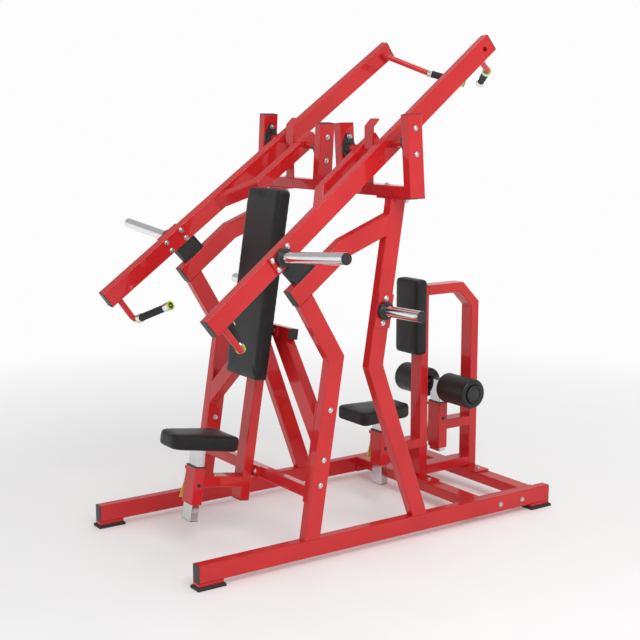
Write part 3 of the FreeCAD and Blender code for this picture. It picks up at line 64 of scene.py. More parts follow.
def span(points, place):
    """Lowest and highest corner of some points, along a place's own axes."""
    local = [place.inverted() @ point for point in points]
    low = Vector([min(point[axis] for point in local) for axis in range(3)])
    high = Vector([max(point[axis] for point in local) for axis in range(3)])
    return low, high


def points_of(node, keep=lambda point: True):
    return [vertex.co.copy() for vertex in NODES[node].data.vertices if keep(vertex.co)]


LEAN_UP = Vector(JOINTS["chest_seat_slide"]["axis"]).normalized()
LEANING = basis(Vector(), X, LEAN_UP.cross(X), LEAN_UP)
UPRIGHT = Matrix.Identity(4)


def facing(frame_of, out, up):
    """Place at the frame's origin whose third axis points out of a cushion and whose second points up it."""
    turn = frame_of.to_3x3()
    return basis(Vector(), turn @ up.cross(out), turn @ up, turn @ out)


# --------------------------------------------------------------------------------------------------
# Materials
# --------------------------------------------------------------------------------------------------
class Shader:
    """Node tree of one material, with short calls for the textures used here."""

    def __init__(self, name, **constants):
        self.material = bpy.data.materials.new(name)
        self.material.use_nodes = True
        self.tree = self.material.node_tree
        self.surface = next(node for node in self.tree.nodes if node.type == "BSDF_PRINCIPLED")
        for socket, amount in constants.items():
            self.surface.inputs[socket.replace("_", " ")].default_value = amount
        self.place = self.add("ShaderNodeTexCoord").outputs["Object"]

    def add(self, kind, **settings):
        node = self.tree.nodes.new(kind)
        for key, setting in settings.items():
            setattr(node, key, setting)
        return node

    def feed(self, socket, source):
        if isinstance(source, bpy.types.NodeSocket):
            self.tree.links.new(source, socket)
        else:
            socket.default_value = source

    def stretched(self, scale):
        mapping = self.add("ShaderNodeMapping")
        self.feed(mapping.inputs["Vector"], self.place)
        mapping.inputs["Scale"].default_value = scale
        return mapping.outputs["Vector"]

    def noise(self, scale, detail=3.0, roughness=0.5, vector=None):
        node = self.add("ShaderNodeTexNoise")
        self.feed(node.inputs["Vector"], vector or self.place)
        node.inputs["Scale"].default_value = scale
        node.inputs["Detail"].default_value = detail
        node.inputs["Roughness"].default_value = roughness
        return node.outputs["Fac"]

    def cells(self, scale, feature="F1", vector=None):
        node = self.add("ShaderNodeTexVoronoi", feature=feature)
        self.feed(node.inputs["Vector"], vector or self.place)
        node.inputs["Scale"].default_value = scale
        return node.outputs["Distance"]

    def ramp(self, source, low, high, start=0.0, end=1.0):
        node = self.add("ShaderNodeMapRange")
        for socket, amount in zip(("Value", "From Min", "From Max", "To Min", "To Max"),
                                  (source, low, high, start, end)):
            self.feed(node.inputs[socket], amount)
        return node.outputs["Result"]

    def math(self, operation, first, second):
        node = self.add("ShaderNodeMath", operation=operation)
        self.feed(node.inputs[0], first)
        self.feed(node.inputs[1], second)
        return node.outputs["Value"]

    def mix(self, share, first, second):
        node = self.add("ShaderNodeMix", data_type="RGBA")
        self.feed(node.inputs["Factor"], share)
        for socket, colour in zip((node.inputs[6], node.inputs[7]), (first, second)):
            self.feed(socket, colour if isinstance(colour, bpy.types.NodeSocket) else (*colour, 1.0))
        return node.outputs[2]

    def edges(self, radius):
        """0 on flat faces and up to 1 along edges."""
        rounded = self.add("ShaderNodeBevel", samples=4)
        rounded.inputs["Radius"].default_value = radius
        true_normal = self.add("ShaderNodeNewGeometry").outputs["Normal"]
        dot = self.add("ShaderNodeVectorMath", operation="DOT_PRODUCT")
        self.feed(dot.inputs[0], rounded.outputs["Normal"])
        self.feed(dot.inputs[1], true_normal)
        return self.ramp(dot.outputs["Value"], 0.97, 0.75)

    def bump(self, height, distance, strength=1.0, below=None):
        node = self.add("ShaderNodeBump")
        node.inputs["Distance"].default_value = distance
        node.inputs["Strength"].default_value = strength
        self.feed(node.inputs["Height"], height)
        if below is not None:
            self.feed(node.inputs["Normal"], below)
        return node.outputs["Normal"]

    def finish(self, colour=None, roughness=None, normal=None):
        for socket, source in (("Base Color", colour), ("Roughness", roughness), ("Normal", normal)):
            if source is not None:
                self.feed(self.surface.inputs[socket], source)
        return self.material


def red_powder_coat():
    shader = Shader("red_powder_coat", Coat_Weight=0.6, Coat_Roughness=0.05, Coat_IOR=1.5,
                    Specular_IOR_Level=0.15)
    cloudy = shader.noise(4.0, 3.0)
    speckle = shader.noise(900.0, 2.0)
    body = shader.mix(shader.ramp(cloudy, 0.35, 0.65), (0.53, 0.011, 0.013), (0.60, 0.016, 0.018))
    body = shader.mix(shader.ramp(speckle, 0.62, 0.75, 0.0, 0.25), body, (0.72, 0.06, 0.055))
    body = shader.mix(shader.math("MULTIPLY", shader.edges(0.0018), 0.35), body, (0.74, 0.10, 0.09))
    smear = shader.noise(9.0, 5.0, 0.6)
    peel = shader.bump(shader.noise(330.0, 2.0, 0.45), 0.00006)
    wave = shader.bump(shader.noise(26.0, 1.0), 0.00035, below=peel)
    return shader.finish(body, shader.ramp(smear, 0.35, 0.75, 0.30, 0.42), wave)


def black_vinyl():
    shader = Shader("black_vinyl", Specular_IOR_Level=0.28)
    wrinkle = shader.noise(34.0, 3.0, 0.5)
    grain = shader.cells(780.0, "DISTANCE_TO_EDGE")
    pebble = shader.ramp(grain, 0.0, 0.22)
    body = shader.mix(pebble, (0.006, 0.006, 0.007), (0.014, 0.014, 0.015))
    body = shader.mix(shader.ramp(wrinkle, 0.45, 0.8, 0.0, 0.5), body, (0.020, 0.019, 0.019))
    rub = shader.noise(7.0, 4.0, 0.6)
    fine = shader.bump(pebble, 0.00016)
    soft = shader.bump(wrinkle, 0.0005, 0.4, fine)
    return shader.finish(body, shader.ramp(rub, 0.3, 0.7, 0.30, 0.40), soft)


def roller_skin():
    shader = Shader("roller_skin", Specular_IOR_Level=0.36)
    pores = shader.noise(620.0, 3.0, 0.7)
    body = shader.mix(shader.ramp(pores, 0.4, 0.7), (0.012, 0.012, 0.012), (0.024, 0.023, 0.023))
    rub = shader.noise(14.0, 4.0, 0.55)
    fine = shader.bump(pores, 0.00012)
    soft = shader.bump(shader.noise(70.0, 3.0), 0.0004, 0.7, fine)
    return shader.finish(body, shader.ramp(rub, 0.3, 0.7, 0.30, 0.44), soft)


def moulded(name, dark, light, smooth, rough, grain, depth):
    """Moulded rubber or plastic: fine mould grain, cloudy roughness and paler worn edges."""
    shader = Shader(name, Specular_IOR_Level=0.45)
    texture = shader.noise(grain, 3.0, 0.65)
    body = shader.mix(shader.ramp(texture, 0.35, 0.7), dark, light)
    pale = tuple(3.2 * amount for amount in light)
    body = shader.mix(shader.math("MULTIPLY", shader.edges(0.0012), 0.4), body, pale)
    cloudy = shader.noise(18.0, 4.0, 0.6)
    return shader.finish(body, shader.ramp(cloudy, 0.3, 0.7, smooth, rough), shader.bump(texture, depth))


def polished_chrome(name, dull, clear):
    shader = Shader(name, Metallic=1.0)
    haze = shader.noise(16.0, 4.0, 0.6)
    hairline = shader.noise(60.0, 2.0, 0.5, shader.stretched((30.0, 30.0, 0.6)))
    body = shader.mix(shader.ramp(haze, 0.3, 0.7), dull, clear)
    cloudy = shader.ramp(haze, 0.3, 0.75, 0.05, 0.13)
    scored = shader.ramp(hairline, 0.55, 0.8, 0.0, 0.05)
    rough = shader.math("ADD", cloudy, scored)
    return shader.finish(body, rough, shader.bump(hairline, 0.00001))


def zinc_steel():
    shader = Shader("zinc_steel", Metallic=1.0)
    spangle = shader.cells(420.0)
    body = shader.mix(shader.ramp(spangle, 0.1, 0.8), (0.52, 0.53, 0.55), (0.70, 0.70, 0.70))
    body = shader.mix(shader.math("MULTIPLY", shader.edges(0.0008), 0.6), body, (0.86, 0.86, 0.86))
    rough = shader.ramp(shader.noise(220.0, 4.0), 0.3, 0.7, 0.22, 0.36)
    return shader.finish(body, rough, shader.bump(shader.noise(900.0, 2.0), 0.00003))


def yellow_enamel():
    shader = Shader("yellow_enamel", Coat_Weight=0.6, Coat_Roughness=0.08)
    body = shader.mix(shader.ramp(shader.noise(30.0), 0.35, 0.65), (0.62, 0.46, 0.012), (0.74, 0.58, 0.02))
    body = shader.mix(shader.math("MULTIPLY", shader.edges(0.001), 0.4), body, (0.85, 0.75, 0.2))
    return shader.finish(body, shader.ramp(shader.noise(40.0), 0.3, 0.7, 0.3, 0.42),
                         shader.bump(shader.noise(420.0), 0.00004))


def cast_iron():
    shader = Shader("cast_iron", Specular_IOR_Level=0.5, Coat_Weight=0.25, Coat_Roughness=0.25)
    sand = shader.noise(520.0, 4.0, 0.7)
    body = shader.mix(shader.ramp(sand, 0.35, 0.7), (0.012, 0.012, 0.013), (0.026, 0.026, 0.027))
    body = shader.mix(shader.math("MULTIPLY", shader.edges(0.001), 0.35), body, (0.10, 0.10, 0.10))
    lumpy = shader.bump(shader.noise(90.0, 3.0), 0.0003, 0.7)
    rough = shader.ramp(sand, 0.3, 0.7, 0.34, 0.5)
    return shader.finish(body, rough, shader.bump(sand, 0.00014, 1.0, lumpy))


def lime_ring():
    shader = Shader("lime_ring", Coat_Weight=0.4, Coat_Roughness=0.1)
    body = shader.mix(shader.ramp(shader.noise(60.0), 0.35, 0.65), (0.30, 0.55, 0.012), (0.38, 0.66, 0.02))
    return shader.finish(body, shader.ramp(shader.noise(90.0), 0.3, 0.7, 0.28, 0.4),
                         shader.bump(shader.noise(700.0), 0.00003))


MATERIALS = {
    "red_paint": red_powder_coat(),
    "black_vinyl": black_vinyl(),
    "roller_foam": roller_skin(),
    "grip_rubber": moulded("grip_rubber", dark=(0.010, 0.010, 0.010), light=(0.022, 0.022, 0.022),
                           smooth=0.55, rough=0.7, grain=700.0, depth=0.0002),
    "black_rubber": moulded("black_rubber", dark=(0.012, 0.012, 0.012), light=(0.026, 0.026, 0.026),
                            smooth=0.5, rough=0.66, grain=480.0, depth=0.00015),
    "black_plastic": moulded("black_plastic", dark=(0.014, 0.014, 0.015), light=(0.028, 0.028, 0.029),
                             smooth=0.34, rough=0.46, grain=600.0, depth=0.00008),
    "chrome": polished_chrome("polished_chrome", (0.74, 0.75, 0.77), (0.86, 0.86, 0.87)),
    "zinc_steel": zinc_steel(),
    "yellow_lever": yellow_enamel(),
    "black_casting": cast_iron(),
}
LIME = lime_ring()
# Darker copy of the chrome for the sliding posts: painted shade, not a different finish.
SHADED_POST_CHROME = polished_chrome("shaded_post_chrome", (0.56, 0.565, 0.58), (0.66, 0.66, 0.665))


def dress(nodes):
    """Gives every CAD node its material: the slot's own, or on the sliding posts a darker copy of the chrome that
    paints their shade.
    """
    for node, slot in nodes.items():
        # The sliding posts get the darker chrome copy, which paints their shade.
        dull = node in ("chest_seat_post", "pulldown_seat_post", "roller_post")
        for holder in NODES[node].material_slots:
            holder.material = SHADED_POST_CHROME if dull else MATERIALS[slot]


dress(SLOT_OF)


# --------------------------------------------------------------------------------------------------
# Mesh making
# --------------------------------------------------------------------------------------------------
def piece(name, points, faces, material, sharp=None):
    """Mesh object from points in the row frame, smooth apart from edges sharper than an angle."""
    mesh = bpy.data.meshes.new(name)
    mesh.from_pydata(points, [], faces)
    work = bmesh.new()
    work.from_mesh(mesh)
    bmesh.ops.recalc_face_normals(work, faces=work.faces)
    work.to_mesh(mesh)
    work.free()
    mesh.shade_smooth()
    if sharp is not None:
        mesh.set_sharp_from_angle(angle=math.radians(sharp))
    mesh.materials.append(material)
    made = bpy.data.objects.new(name, mesh)
    bpy.context.scene.collection.objects.link(made)
    return made


def turned(name, profile, place, material, segments=72, sharp=50):
    """Ring or plug turned about a place's third axis, from (radius, height) points in order."""
    points, faces, rings = [], [], []
    for radius, height in profile:
        if radius == 0:
            rings.append([len(points)] * segments)
            points.append(place @ Vector((0, 0, height)))
            continue
        rings.append(list(range(len(points), len(points) + segments)))
        for step in range(segments):
            turn = 2 * math.pi * step / segments
            points.append(place @ Vector((radius * math.cos(turn), radius * math.sin(turn), height)))
    closed = profile[0][0] != 0 and profile[-1][0] != 0
    pairs = list(zip(rings, rings[1:])) + ([(rings[-1], rings[0])] if closed else [])
    for lower, upper in pairs:
        for step in range(segments):
            after = (step + 1) % segments
            corners = [lower[step], lower[after], upper[after], upper[step]]
            faces.append([corner for spot, corner in enumerate(corners) if corner not in corners[:spot]])
    return piece(name, points, faces, material, sharp)


def arc(centre, radius, start, end, steps=6):
    """(radius, height) points of an arc in a profile, with angles in degrees from the radius direction."""
    turns = [math.radians(start + (end - start) * step / steps) for step in range(steps + 1)]
    return [(centre[0] + radius * math.cos(turn), centre[1] + radius * math.sin(turn)) for turn in turns]


def rounded_outline(corners, steps=7):
    """Closed loop through (x, y, radius) corners, anticlockwise, with an arc at each corner."""
    loop = []
    for index, (x, y, radius) in enumerate(corners):
        corner = Vector((x, y))
        before = (Vector(corners[index - 1][:2]) - corner).normalized()
        after = (Vector(corners[(index + 1) % len(corners)][:2]) - corner).normalized()
        half = before.angle(after) / 2
        centre = corner + (before + after).normalized() * (radius / math.sin(half))
        start = corner + before * (radius / math.tan(half)) - centre
        sweep = math.pi - 2 * half
        for step in range(steps + 1):
            turn = sweep * step / steps
            loop.append(centre + Matrix.Rotation(turn, 2) @ start)
    return loop


def inset(loop, distance):
    """Loop moved inwards by a distance."""
    moved = []
    for index, point in enumerate(loop):
        along = (loop[(index + 1) % len(loop)] - loop[index - 1]).normalized()
        moved.append(point + distance * Vector((-along.y, along.x)))
    return moved


def stacked(name, loop, profile, place, material):
    """Closed form from one outline: profile gives (inset, height) of each level, from bottom to top."""
    points, faces = [], []
    size = len(loop)
    for depth, height in profile:
        points += [place @ Vector((point.x, point.y, height)) for point in inset(loop, depth)]
    for level in range(len(profile) - 1):
        start = level * size
        for index in range(size):
            after = (index + 1) % size
            faces.append([start + index, start + after, start + size + after, start + size + index])
    faces.append(list(range(size))[::-1])
    faces.append(list(range((len(profile) - 1) * size, len(profile) * size)))
    return piece(name, points, faces, material, 40)


def evenly(loop, spacing):
    """Points along a closed loop at even steps near the spacing."""
    lengths = [(loop[(index + 1) % len(loop)] - point).length for index, point in enumerate(loop)]
    total = sum(lengths)
    count = round(total / spacing)
    spots, index, passed = [], 0, 0.0
    for step in range(count):
        target = total * step / count
        while passed + lengths[index] < target:
            passed += lengths[index]
            index += 1
        share = (target - passed) / lengths[index]
        spots.append(loop[index].lerp(loop[(index + 1) % len(loop)], share))
    return spots


# --------------------------------------------------------------------------------------------------
# Cushions
# --------------------------------------------------------------------------------------------------
VOXEL = 0.0055
BOARD = 0.0016          # cover sheet on the board side
SIDE_ROOM = 0.0018      # how much smaller than its CAD solid a cushion starts, at its sides
FRONT_ROOM = 0.0035     # and at its front
BACK_ROUND = 0.005
FRONT_ROUND = 0.013
HELD_SHARE = 0.35       # share of a cushion's depth, from its board, that the simulation holds still
DOME_START = 0.6        # share of its depth where the crown of the front begins
SIM_FRAMES = 20
COVER_EDGE = 0.014      # from a cushion's outline to the edge of the cover sheet behind its board
COVER_GAP = 0.0001
COVER_THICK = BOARD - 0.0002
STAPLE_PITCH, STAPLE_INSET = 0.045, 0.018
STAPLE_LONG, STAPLE_WIDE = 0.005, 0.0006            # half sizes of a staple's crown
STAPLE_LEVELS = ((COVER_GAP, 0.8), (-0.0004, 0.55))     # height from the board and share of the half sizes


def applied(obj):
    """Replaces an object's mesh by the one its modifiers make."""
    seen = obj.evaluated_get(bpy.context.evaluated_depsgraph_get())
    mesh = bpy.data.meshes.new_from_object(seen)
    obj.modifiers.clear()
    obj.data = mesh


def coordinates(mesh):
    flat = np.zeros(len(mesh.vertices) * 3)
    mesh.vertices.foreach_get("co", flat)
    return flat.reshape(-1, 3)


def inflated(obj, place, hold_below):
    """Cloth simulation of a cushion under air pressure, held at its board, with its movement capped."""
    into = place.inverted().to_3x3()
    heights = (coordinates(obj.data) @ np.array(into).T)[:, 2]
    held = obj.vertex_groups.new(name="held")
    held.add([int(index) for index in np.nonzero(heights < hold_below)[0]], 1.0, "REPLACE")
    cloth = obj.modifiers.new("air", "CLOTH")
    cloth.settings.quality = 5
    cloth.settings.mass = 0.35
    cloth.settings.tension_stiffness = 60
    cloth.settings.compression_stiffness = 60
    cloth.settings.shear_stiffness = 30
    cloth.settings.bending_stiffness = 20.0
    cloth.settings.vertex_group_mass = "held"
    cloth.settings.use_pressure = True
    cloth.settings.uniform_pressure_force = 4.0
    cloth.settings.effector_weights.gravity = 0.0
    cloth.point_cache.frame_start = 1
    cloth.point_cache.frame_end = SIM_FRAMES
    scene = bpy.context.scene
    for number in range(1, SIM_FRAMES + 1):
        scene.frame_set(number)
    before = coordinates(obj.data)
    seen = obj.evaluated_get(bpy.context.evaluated_depsgraph_get())
    after = coordinates(seen.data)
    obj.modifiers.clear()
    scene.frame_set(1)
    local = (after - before) @ np.array(into).T
    caps = np.array([SIDE_ROOM, SIDE_ROOM, FRONT_ROOM])
    local = caps * np.tanh(local / caps)
    moved = before + local @ np.array(into)
    obj.data.vertices.foreach_set("co", moved.ravel())
    obj.data.update()


def relaxed(obj, times):
    """Takes the voxel steps out of a remeshed surface."""
    work = bmesh.new()
    work.from_mesh(obj.data)
    for _ in range(times):
        bmesh.ops.smooth_vert(work, verts=work.verts, factor=0.5,
                              use_axis_x=True, use_axis_y=True, use_axis_z=True)
    work.to_mesh(obj.data)
    work.free()


def cushion(name, node, body, place, corners, crown):
    """Upholstered pad on a board: simulated cover, board cover and staples."""
    low, high = span(points_of(node), place)
    loop = rounded_outline(corners)
    base = low.z + BOARD
    top = high.z - FRONT_ROOM
    profile = [(SIDE_ROOM + BACK_ROUND, base), (SIDE_ROOM + 0.3 * BACK_ROUND, base + 0.3 * BACK_ROUND),
               (SIDE_ROOM, base + BACK_ROUND)]
    profile += [(SIDE_ROOM + FRONT_ROUND - across, top - FRONT_ROUND + up)
                for across, up in arc((0, 0), FRONT_ROUND, 0, 90, 7)]
    pad = stacked(name, loop, profile, place, MATERIALS["black_vinyl"])
    voxels = pad.modifiers.new("voxels", "REMESH")
    voxels.mode = "VOXEL"
    voxels.voxel_size = VOXEL
    voxels.use_smooth_shade = True
    applied(pad)
    relaxed(pad, 3)
    inflated(pad, place, base + HELD_SHARE * (top - base))
    relaxed(pad, 4)
    pad.modifiers.new("finer", "SUBSURF").levels = 1
    applied(pad)
    crowned(pad, place, low, high, crown)
    for made in (pad, *board_cover(name, loop, low.z, place)):
        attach(made, body)
    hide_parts(node)
    return pad


def crowned(pad, place, low, high, rise):
    """Gives the front a low dome, highest at its middle and nothing at its rim."""
    into = place.inverted()
    middle = (low + high) / 2
    half = (high - low) / 2
    for vertex in pad.data.vertices:
        spot = into @ vertex.co
        share = (spot.z - low.z) / (high.z - low.z)
        if share > DOME_START:
            across = min(1.0, abs(spot.x - middle.x) / half.x)
            along = min(1.0, abs(spot.y - middle.y) / half.y)
            dome = (1 - across ** 4) * (1 - along ** 4) * (share - DOME_START) / (1 - DOME_START)
            vertex.co += place.to_3x3() @ Vector((0, 0, rise * dome))


def board_cover(name, loop, floor, place):
    """Thin cover sheet behind the board and the staples that hold it."""
    profile = [(COVER_EDGE, floor + COVER_GAP), (COVER_EDGE, floor + 0.6 * COVER_THICK),
               (COVER_EDGE - 0.0008, floor + COVER_THICK + 0.0006)]
    sheet = stacked(name + "_board_cover", loop, profile, place, MATERIALS["black_rubber"])
    points, faces = [], []
    spots = evenly(inset(loop, STAPLE_INSET), STAPLE_PITCH)
    for index, spot in enumerate(spots):
        along = (spots[(index + 1) % len(spots)] - spots[index - 1]).normalized()
        side = Vector((-along.y, along.x))
        start = len(points)
        for level, reach in STAPLE_LEVELS:
            for run, cross in ((-1, -1), (1, -1), (1, 1), (-1, 1)):
                flat = spot + along * (run * STAPLE_LONG * (0.9 + 0.1 * reach))
                flat += side * (cross * STAPLE_WIDE * reach)
                points.append(place @ Vector((flat.x, flat.y, floor + level)))
        for corner in range(4):
            after = (corner + 1) % 4
            faces.append([start + corner, start + after, start + 4 + after, start + 4 + corner])
        faces += [[start + 3, start + 2, start + 1, start], [start + 4, start + 5, start + 6, start + 7]]
    staples = piece(name + "_staples", points, faces, MATERIALS["zinc_steel"], 40)
    return sheet, staples


def rectangle(low, high, radius):
    return [(low.x, low.y, radius), (high.x, low.y, radius),
            (high.x, high.y, radius), (low.x, high.y, radius)]


def saddle(low, high, slim_half, slim_radius, wide_radius):
    """Seat outline: wide at its low end and slim at its high end."""
    middle = (low.x + high.x) / 2
    return [(low.x, low.y, wide_radius), (high.x, low.y, wide_radius),
            (middle + slim_half, high.y, slim_radius), (middle - slim_half, high.y, slim_radius)]


SLIM_HALF, SLIM_CORNER, WIDE_CORNER = 0.084, 0.050, 0.032
PAD_CORNER = 0.022
BACK_CROWN, CHEST_CROWN, SEAT_CROWN = 0.002, 0.0015, 0.002


def cushions():
    """The two body pads and the two seats."""
    back = facing(LEANING, -Y, Z)
    low, high = span(points_of("back_pad"), back)
    cushion("back_pad_cover", "back_pad", "frame", back, rectangle(low, high, PAD_CORNER), BACK_CROWN)
    chest = facing(UPRIGHT, -Y, Z)
    low, high = span(points_of("chest_pad"), chest)
    cushion("chest_pad_cover", "chest_pad", "frame", chest, rectangle(low, high, PAD_CORNER), CHEST_CROWN)
    for name, frame_of, nose in (("chest_seat", LEANING, -Y), ("pulldown_seat", UPRIGHT, Y)):
        place = facing(frame_of, Z, nose)
        low, high = span(points_of(name), place)
        corners = saddle(low, high, SLIM_HALF, SLIM_CORNER, WIDE_CORNER)
        cushion(name + "_cover", name, name, place, corners, SEAT_CROWN)


cushions()


# --------------------------------------------------------------------------------------------------
# Knee rollers
# --------------------------------------------------------------------------------------------------
FOAM_BORE = 0.0215
FOAM_EDGE = 0.015                       # radius of a roller's rounded ends
FOAM_WAVE, FOAM_WAVE_SCALE = 0.0004, 22.0
CAP_DOME, CAP_OUTER = 0.036, 0.0455     # radii of an end cap's dome and of its rim
CAP_RECESS = CAP_OUTER + 0.0008
CAP_DEEP = 0.004


def foam_outline(radius, start, end):
    """Profile of a roller: a shallow hollow at its inner end, rounded ends and the cap's recess."""
    mid = (start + end) / 2
    outline = [(FOAM_BORE, start + 0.001), (0.040, start + 0.0025),
               (radius - FOAM_EDGE - 0.006, start + 0.0004)]
    outline += arc((radius - FOAM_EDGE, start + FOAM_EDGE), FOAM_EDGE, -90, 0, 8)
    outline += [(radius - 0.0006, start + 0.04), (radius - 0.0001, mid), (radius - 0.0006, end - 0.04)]
    outline += arc((radius - FOAM_EDGE, end - FOAM_EDGE), FOAM_EDGE, 0, 90, 8)
    return outline + [(radius - FOAM_EDGE - 0.005, end - 0.0004), (CAP_RECESS + 0.002, end - 0.0015),
                      (CAP_RECESS, end - 0.006), (FOAM_BORE, end - 0.007)]


def cap_outline(face):
    """Profile of a roller's end cap: a low dome inside a rounded rim."""
    rim = (CAP_OUTER - CAP_DOME) / 2
    dome = ((0, 0.0046), (0.35, 0.0043), (0.7, 0.0033), (0.92, 0.0018), (1, 0.0004))
    outline = [(share * CAP_DOME, face + rise) for share, rise in dome]
    outline += arc((CAP_OUTER - rim, face + 0.0012), rim * 0.9, 180, 0, 8)
    return outline + [(CAP_OUTER, face - CAP_DEEP), (0, face - CAP_DEEP)]


def rollers():
    """Foam roller with softened ends and a domed end cap, on each side."""
    for name, side in SIDES.items():
        node = f"{name}_roller"
        centre = Vector(JOINTS[f"{name}_roller_spin"]["pos_m"])
        place = basis(centre, Y * side, Z, X * side)
        low, high = span(points_of(node), place)
        outline = foam_outline(high.x, low.z, high.z)
        foam = turned(f"{name}_roller_foam", outline, place, MATERIALS["roller_foam"], 96, 60)
        foam.modifiers.new("finer", "SUBSURF").levels = 1
        applied(foam)
        for vertex in foam.data.vertices:
            out = (vertex.co - centre) - (vertex.co - centre).project(X)
            if out.length > 0.05:
                wave = 0.5 + 0.5 * noise.noise(vertex.co * FOAM_WAVE_SCALE)
                vertex.co -= out.normalized() * FOAM_WAVE * wave
        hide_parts(node)
        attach(foam, f"{name}_knee_roller")
        face = span(points_of(f"{name}_roller_core"), place)[1].z
        plug = turned(f"{name}_roller_end_cap", cap_outline(face), place, MATERIALS["black_plastic"], 72, 55)
        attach(plug, f"{name}_knee_roller")


rollers()


# --------------------------------------------------------------------------------------------------
# Hand grips
# --------------------------------------------------------------------------------------------------
GRIP_BORE, GRIP_OUTER, COLLAR_OUTER = 0.0142, 0.0175, 0.0215
NEAR_COLLAR, FAR_COLLAR = 0.020, 0.036
COLLAR_ROUND = 0.0016
LIME_THICK, LIME_OUTER = 0.003, 0.0221
RIB_PITCH, RIB_DEEP = 0.0045, 0.0004
RIB_PROFILE = ((0.12, 1.0), (0.3, 0.0), (0.82, 0.0), (0.96, 1.0))   # share of a rib's pitch and of its depth
GRIP_GAP = 0.0004
# Depth of the black disc that paints the shade inside a handle's open end.
SHADE_DISC_SUNK = 0.0018
SCREW = ((0, 0.0002), (0.0022, 0.0002), (0.0025, 0.0014), (0.0045, 0.0011), (0.0058, 0.0004),
         (0.0058, -0.0002), (0, -0.0002))       # radius and height over the black disc that paints the shade in the handle's open end


def long_axis(points):
    """Middle and direction of a straight bar of points, pointing to the end nearest the machine's middle."""
    cloud = np.array(points)
    middle = cloud.mean(0)
    along = Vector(np.linalg.svd(cloud - middle, full_matrices=False)[2][0]).normalized()
    if abs((Vector(middle) + along).x) > abs((Vector(middle) - along).x):
        along.negate()
    return Vector(middle), along


def sleeve_outline(first, last):
    """Profile of a rubber sleeve with ribs around it."""
    count = round((last - first) / RIB_PITCH)
    outline = [(GRIP_BORE, first + GRIP_GAP), (GRIP_OUTER - 0.001, first + GRIP_GAP)]
    for rib in range(count):
        floor = first + (last - first) * rib / count
        for share, dip in RIB_PROFILE:
            outline.append((GRIP_OUTER - dip * RIB_DEEP, floor + share * (last - first) / count))
    return outline + [(GRIP_OUTER - 0.001, last - GRIP_GAP), (GRIP_BORE, last - GRIP_GAP)]


def collar_outline(bottom, top):
    """Profile of a collar with rounded outer edges."""
    middle = COLLAR_OUTER - COLLAR_ROUND
    outline = [(GRIP_BORE, bottom), (middle, bottom)]
    outline += arc((middle, bottom + COLLAR_ROUND), COLLAR_ROUND, -90, 0, 4)
    outline += arc((middle, top - COLLAR_ROUND), COLLAR_ROUND, 0, 90, 4)
    return outline + [(GRIP_BORE, top)]


def lime_outline(bottom):
    """Profile of a thin ring whose outside is half round."""
    soft = LIME_THICK / 2
    outline = [(GRIP_BORE, bottom + LIME_THICK), (GRIP_BORE, bottom)]
    return outline + arc((LIME_OUTER - soft, bottom + soft), soft, -90, 90, 6)


def grips():
    """Ribbed rubber sleeve, chrome end collars, lime rings and a screw on a sunk black disc on each handle, the
    disc painting the shade of the open tube end.
    """
    for name in SIDES:
        node = f"{name}_grips"
        for station, at_front in (("press", True), ("pulldown", False)):
            points = points_of(node, lambda point: (point.y < 0) == at_front)
            middle, along = long_axis(points)
            across = along.cross(Z).normalized()
            place = basis(middle, across, along.cross(across), along)
            low, high = span(points, place)
            start, end = low.z, high.z
            first, last = start + LIME_THICK + NEAR_COLLAR, end - LIME_THICK - FAR_COLLAR
            prefix = f"{name}_{station}"
            sleeve = turned(prefix + "_grip_sleeve", sleeve_outline(first, last), place,
                            MATERIALS["grip_rubber"], 40, None)
            made = [sleeve]
            for spot, bottom, top in (("near", first - NEAR_COLLAR, first), ("far", last, last + FAR_COLLAR)):
                collar = turned(f"{prefix}_{spot}_collar", collar_outline(bottom, top), place,
                                MATERIALS["chrome"], 56)
                made.append(collar)
            for spot, bottom in (("near", start), ("far", end - LIME_THICK)):
                made.append(turned(f"{prefix}_{spot}_lime_ring", lime_outline(bottom), place, LIME, 56))
            # Black disc sunk into the handle's open end: painted shade of the hollow tube inside the lime ring.
            floor = end - SHADE_DISC_SUNK
            plug = [(0, floor), (GRIP_BORE, floor), (GRIP_BORE, end - LIME_THICK), (0, end - LIME_THICK)]
            made.append(turned(prefix + "_shade_disc", plug, place, MATERIALS["black_plastic"], 40))
            screw = [(radius, floor + rise) for radius, rise in SCREW]
            made.append(turned(prefix + "_end_screw", screw, place, MATERIALS["zinc_steel"], 32, 40))
            for part in made:
                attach(part, f"{name}_arm_assembly")
            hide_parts(node)


grips()


# --------------------------------------------------------------------------------------------------
# Small fittings
# --------------------------------------------------------------------------------------------------
BUTTON_SUNK = 0.002
PIN_RADIUS, PIN_HEIGHT = 0.0085, 0.003
PIN_ENDS = (("chest_seat_bracket", LEANING, 0.53), ("pulldown_seat_bracket", UPRIGHT, 0.5),
            ("roller_bracket", UPRIGHT, 0.66))      # sleeve, its place, and the pin's share of its height
ON_FACE = 0.001             # how near to a face its points are
POST_WALL, POST_CORNER = 0.003, 0.003
PLUG_PROUD, PLUG_DEEP, PLUG_SOFT = 0.003, 0.004, 0.0012


def button(name, centre, out, radius, height, material, body):
    """Low domed round head on a face."""
    across = out.orthogonal().normalized()
    place = basis(centre, across, out.cross(across), out)
    profile = [(0, height), (radius * 0.5, height * 0.97)]
    profile += arc((radius * 0.72, height * 0.45), radius * 0.28, 70, 0, 5)
    profile += [(radius, 0.0), (radius * 0.9, -BUTTON_SUNK), (0, -BUTTON_SUNK)]
    made = turned(name, profile, place, material, 40)
    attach(made, body)
    return made


def sleeve_buttons():
    """Black pin end on the +X face of each sleeve."""
    for node, frame_of, share in PIN_ENDS:
        face = max(point.x for point in points_of(node))
        on_face = [point for point in points_of(node) if point.x > face - ON_FACE]
        low, high = span(on_face, frame_of)
        spot = frame_of @ Vector((face, (low.y + high.y) / 2, low.z + share * (high.z - low.z)))
        button(node + "_pin_end", spot, X, PIN_RADIUS, PIN_HEIGHT,
               MATERIALS["black_plastic"], "frame")


